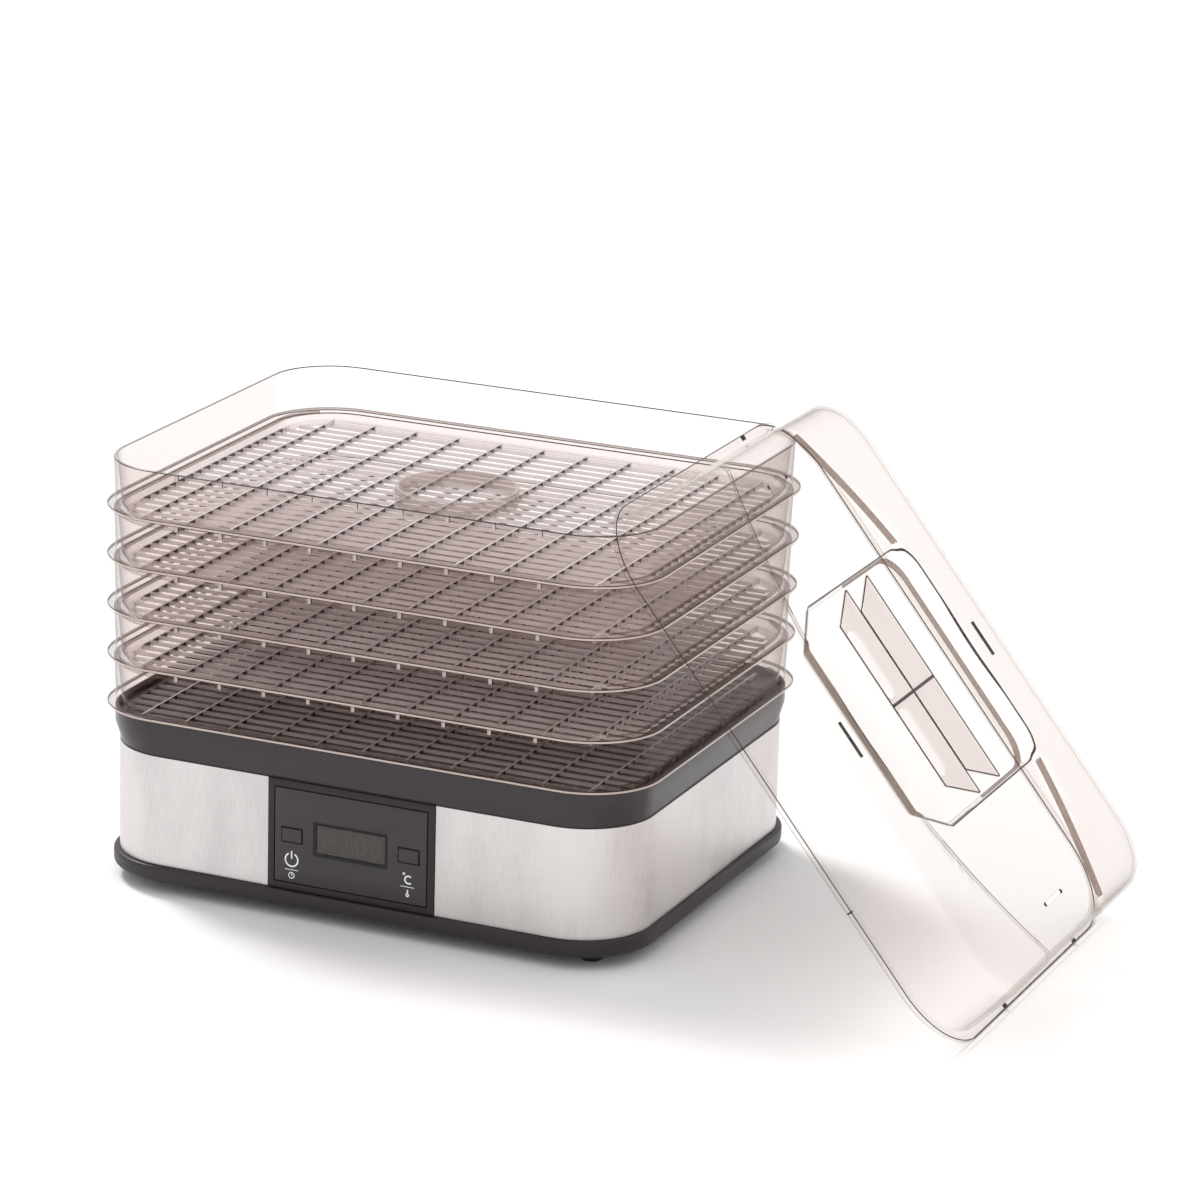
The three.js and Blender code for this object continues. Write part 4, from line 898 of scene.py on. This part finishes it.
def channel_drop(x, y):
    """How far the top is sunk at (x, y): nothing on the two side rails, the channel's depth between
    them, and a smooth step where |y| passes the channel's edge, an arc that is widest in the middle."""
    edge = CHANNEL_HALF_END + (CHANNEL_HALF - CHANNEL_HALF_END) * np.clip(1 - (x / 158) ** 2, 0, 1)
    t = np.clip((edge - np.abs(y)) / CHANNEL_STEP + 0.5, 0, 1)
    return CHANNEL_DEPTH * t * t * (3 - 2 * t)


def lid_side(thick):
    """Rings of one side of the lid's sheet, from the lip's edge up the wall and over the round edge, across
    the top, down into the pocket and in towards its middle, moved inward by the thickness."""
    arc, side = 14, LID_SIDE_STEPS
    def outline(inset):
        inset += thick
        return rounded_rectangle(LIP_LENGTH - 2 * inset, LIP_DEPTH - 2 * inset, LID_CORNER - inset, arc, side)
    top = LID_HEIGHT - thick
    low = 3.2
    turn = np.radians(np.linspace(0, 90, 8))
    insets = [LID_FOOT_INSET + 0.4, LID_FOOT_INSET + 0.8]
    heights = [low, 8]
    insets += list(LID_FOOT_INSET + LID_DRAFT + (LID_ROUND - thick) * (1 - np.cos(turn)))
    heights += list(top - (LID_ROUND - thick) * (1 - np.sin(turn)))
    walls = rings_at([outline(i) for i in insets], heights)
    flat = outline(insets[-1])
    rim = in_directions(pocket_outline(0.8 - thick), flat)
    ray = np.linspace(0, 1, 801)[:, None, None]
    along = flat + (rim - flat) * ray
    reached = channel_drop(along[..., 0], along[..., 1]) / CHANNEL_DEPTH
    wanted = np.linspace(0.02, 0.98, STEP_RINGS + 1)[:, None]
    step = np.stack([(reached < share).mean(0) for share in wanted])
    gap = 0.006 * np.arange(1, STEP_RINGS + 2)[:, None]
    step = np.clip(step, gap, 1 - gap[::-1])
    before = step[0] * (np.arange(1, 6) / 6)[:, None]
    after = step[-1] + (1 - step[-1]) * (np.arange(1, 11) / 10)[:, None]
    share = np.concatenate([before, step, after])[..., None]
    across = flat + (rim - flat) * share
    across = np.concatenate([across, np.full((*across.shape[:2], 1), top)], 2)
    upper = np.concatenate([walls[1:], across])
    sunk = channel_drop(upper[..., 0], upper[..., 1])
    upper[..., 2] -= sunk * np.clip((upper[..., 2] - 8) / (top - 8), 0, 1)
    floor = LID_HEIGHT - POCKET_DEPTH - thick
    steps = [(-0.1, 0), (-0.5, 11), (-0.8, 12.6), (-2.2, 14)]
    pocket = [in_directions(pocket_outline(grow - thick, scoop), flat) for grow, scoop in steps]
    pocket = rings_at(pocket + [pocket[-1] * 0.6, pocket[-1] * 0.2],
                      [top - 0.5, floor + 1.1, floor + 0.3] + [floor] * 3)
    pocket[0, :, 2] -= channel_drop(pocket[0, :, 0], pocket[0, :, 1])
    return np.concatenate([walls[:1], upper, pocket])


def lid_shell():
    """The whole sheet as one skin, with the lip between its two sides."""
    outside, inside = lid_side(0), lid_side(LID_WALL)[::-1]
    insets = (0.5, 0, 0, 0.5, 3.0, 3.2, LID_FOOT_INSET + LID_WALL)
    lip = rings_at(
        [rounded_rectangle(LIP_LENGTH - 2 * i, LIP_DEPTH - 2 * i, LID_CORNER - i, 14, LID_SIDE_STEPS)
         for i in insets], (3.2, 2.8, 0.5, 0, 0, 1.4, 1.5))
    return np.concatenate([inside, lip[::-1], outside])


def slot_tool(x, y, length, width):
    """A tool for a slot with round ends through the lid's top."""
    flat = rounded_rectangle(length, width, min(length, width) / 2 - 0.01, 6)
    return shell(leaned(rings_at([flat + [x, y]] * 2, [LID_HEIGHT - 9, LID_HEIGHT + 3])), closed=False)


def lid_finish(rings, levels_below):
    """The finish of each face of the lid: near-black painted shade along the lip's edges and the pocket's
    edge, and brown painted shade where the sheet steps down, at the channel's sides and at the pocket's near
    wall and far fillet."""
    middle = (rings[:-1] + rings[1:]) / 2
    middle = (middle + np.roll(middle, -1, 1)) / 2
    x, y = middle[..., 0], middle[..., 1]
    level = np.broadcast_to(np.arange(len(middle))[:, None], y.shape)
    from_step = level - levels_below - 1 - STEP_RING
    off_pocket = (np.abs(x) > POCKET_HALF_LENGTH + 2) & (np.abs(y) > 44)
    step = (from_step >= 0) & (from_step < STEP_RINGS) & off_pocket
    last = len(middle) - 1
    near_wall = (level == last - 4) & (y > 20)
    far_fillet = ((level == last - 3) | (level == last - 2)) & (y < 0)
    lip = np.isin(level, levels_below - np.array([1, 3]))
    finish = np.select([lip | (level == last - 5), step | near_wall | far_fillet], [1, 2], 0).ravel()
    return np.concatenate([finish, np.zeros(2 * rings.shape[1])])


lid_plastic = clear_plastic("smoke_lid", (0.986, 0.972, 0.965), (0.20, 0.16, 0.14), 0.012, 0.85, 0.05)
# Near-black painted shade for the dark lines at the lid's lip edges, the pocket's edge and the slots' walls.
lid_edge = clear_plastic("smoke_lid_painted_edge_shade", (0.24, 0.19, 0.17), (0.026, 0.019, 0.017), 0.85, 0.97)
# Brown painted shade where the sheet steps down: the channel's sides, the pocket's near wall and its far
# fillet.
lid_shade = clear_plastic("smoke_lid_step_painted_shade", (0.58, 0.48, 0.43), (0.13, 0.092, 0.075), 0.52, 0.95)
lid_finishes = [lid_plastic, lid_edge, lid_shade]
rings = lid_shell()
lid_points, lid_faces = shell(rings, closed=False)
lid = piece("lid_moulding", (leaned(lid_points), lid_faces), "lid", lid_finishes, ["lid"],
            lid_finish(rings, len(lid_side(0)) + 6))
# The slots' cut walls take the near-black painted edge shade.
cut(lid, slot_tool(0, 101, 22, 1.1), slot_tool(0, -101, 22, 1.1), slot_tool(135, 0, 2.4, 25),
    slot_tool(-135, 0, 2.4, 25), finish=1)
cut(lid, slot_tool(25, 21, 44, 14), slot_tool(-25, 21, 44, 14))

marks = [block((x - 1.5, y - 0.5, 0.3), (x + 1.5, y + 0.5, 2.6))
         for x, y in ((167, -70), (-167, -67), (-167, 45))]
marks.append(block((-75.5, 131.5, 0.3), (-74.5, 134.5, 2.6)))
mark_points, mark_faces = together(*marks)
piece("lid_lip_ticks", (leaned(mark_points), mark_faces), "lid", [lid_edge])

# ---- Vent shutter ----------------------------------------------------------------------------------
# Two clear leaves with slanted ends, joined by a bar across the middle, which slide in the pocket.

SHUTTER_WIDTH = 31
SHUTTER_HALF_LONG = 66.3
SHUTTER_HALF_SHORT = 51.3
SHUTTER_THICK = 1.5
shutter_floor = LID_HEIGHT - POCKET_DEPTH + 0.3


def leaf(near):
    """Rings of one leaf: its four-cornered outline, drawn in a little at its upper and lower edges."""
    far = near + SHUTTER_WIDTH - 0.5
    corners = [(-SHUTTER_HALF_LONG, near), (SHUTTER_HALF_LONG, near), (SHUTTER_HALF_SHORT, far),
               (-SHUTTER_HALF_SHORT, far)]
    flat = rounded_corners(corners, 0.5, 4)
    middle = flat.mean(0)
    small = middle + (flat - middle) * 0.994
    low, high = shutter_floor, shutter_floor + SHUTTER_THICK
    return rings_at([small, flat, flat, small], [low, low + 0.2, high - 0.8, high])


leaf_plastic = clear_plastic("smoke_leaf", (0.965, 0.935, 0.925), (0.45, 0.38, 0.36), 0.04, 0.8, 0.05)
leaves = [shell(leaf(near), closed=False) for near in (0.1, -SHUTTER_WIDTH)]
cross = block((-0.9, -28, shutter_floor + SHUTTER_THICK), (0.9, 31, shutter_floor + SHUTTER_THICK + 1.4))
shutter_points, shutter_faces = together(*leaves, cross)
per_leaf = len(leaves[0][1])
around = leaf(0).shape[1]
# The upper edge band of each leaf and the whole bar take the near-black painted edge shade.
leaf_finish = np.concatenate([np.zeros(2 * around), np.ones(around), np.zeros(per_leaf - 3 * around)])
shutter_finish = np.concatenate([leaf_finish, leaf_finish, np.ones(6)])
piece("vent_leaves", (leaned(shutter_points), shutter_faces), "vent_shutter",
      [leaf_plastic, lid_edge], ["vent_shutter"], shutter_finish)

# ---- Floor, light and camera -----------------------------------------------------------------------
# A plain white floor in soft light from all round, a broad key light from the upper left and a little
# behind, and a camera with a long lens in front, a little above and to the right.

floor_mesh = bpy.data.meshes.new("floor")
floor_mesh.from_pydata([(-14, -14, 0), (14, -14, 0), (14, 14, 0), (-14, 14, 0)], [], [(0, 1, 2, 3)])
floor_paint, floor_shader = new_material("floor_paint")
for socket, value in (("Base Color", (0.9, 0.9, 0.9, 1)), ("Roughness", 0.9), ("Specular IOR Level", 0.1)):
    floor_shader.inputs[socket].default_value = value
floor_mesh.materials.append(floor_paint)
floor = put_in("floor", floor_mesh)

world = bpy.data.worlds.new("studio")
world.use_nodes = True
background = world.node_tree.nodes["Background"]
background.inputs["Color"].default_value = (1, 1, 1, 1)
background.inputs["Strength"].default_value = 0.92
bpy.context.scene.world = world

sun = bpy.data.lights.new("key", "SUN")
sun.energy = 2.0
sun.angle = math.radians(14)
key = put_in("key", sun)
key.rotation_euler = (math.radians(-16), math.radians(-36), 0)

CAMERA_AZIMUTH = math.radians(25.22)
CAMERA_RISE = math.radians(17.21)
CAMERA_ROLL = math.radians(1.08)
CAMERA_DISTANCE = 2.9615
CAMERA_AIM = 0.150
SENSOR_WIDTH = 36
FOCAL_SHARE = 5199.7 / 1200
camera_data = bpy.data.cameras.new("camera")
camera_data.sensor_width = SENSOR_WIDTH
camera_data.lens = SENSOR_WIDTH * FOCAL_SHARE
camera_data.shift_x = 0.1208
camera_data.shift_y = 0.0093
camera_data.clip_end = 100
camera = put_in("camera", camera_data)
target = STACK + [0, 0, CAMERA_AIM]
back_direction = np.array([
    math.sin(CAMERA_AZIMUTH) * math.cos(CAMERA_RISE), -math.cos(CAMERA_AZIMUTH) * math.cos(CAMERA_RISE),
    math.sin(CAMERA_RISE)])
camera.location = target + back_direction * CAMERA_DISTANCE
camera.rotation_mode = "XYZ"
level = Matrix.Rotation(CAMERA_AZIMUTH, 4, "Z") @ Matrix.Rotation(math.pi / 2 - CAMERA_RISE, 4, "X")
camera.rotation_euler = (level @ Matrix.Rotation(CAMERA_ROLL, 4, "Z")).to_euler()
bpy.context.scene.camera = camera
bpy.context.scene.view_settings.view_transform = "Standard"
bpy.context.scene.cycles.transparent_max_bounces = 48
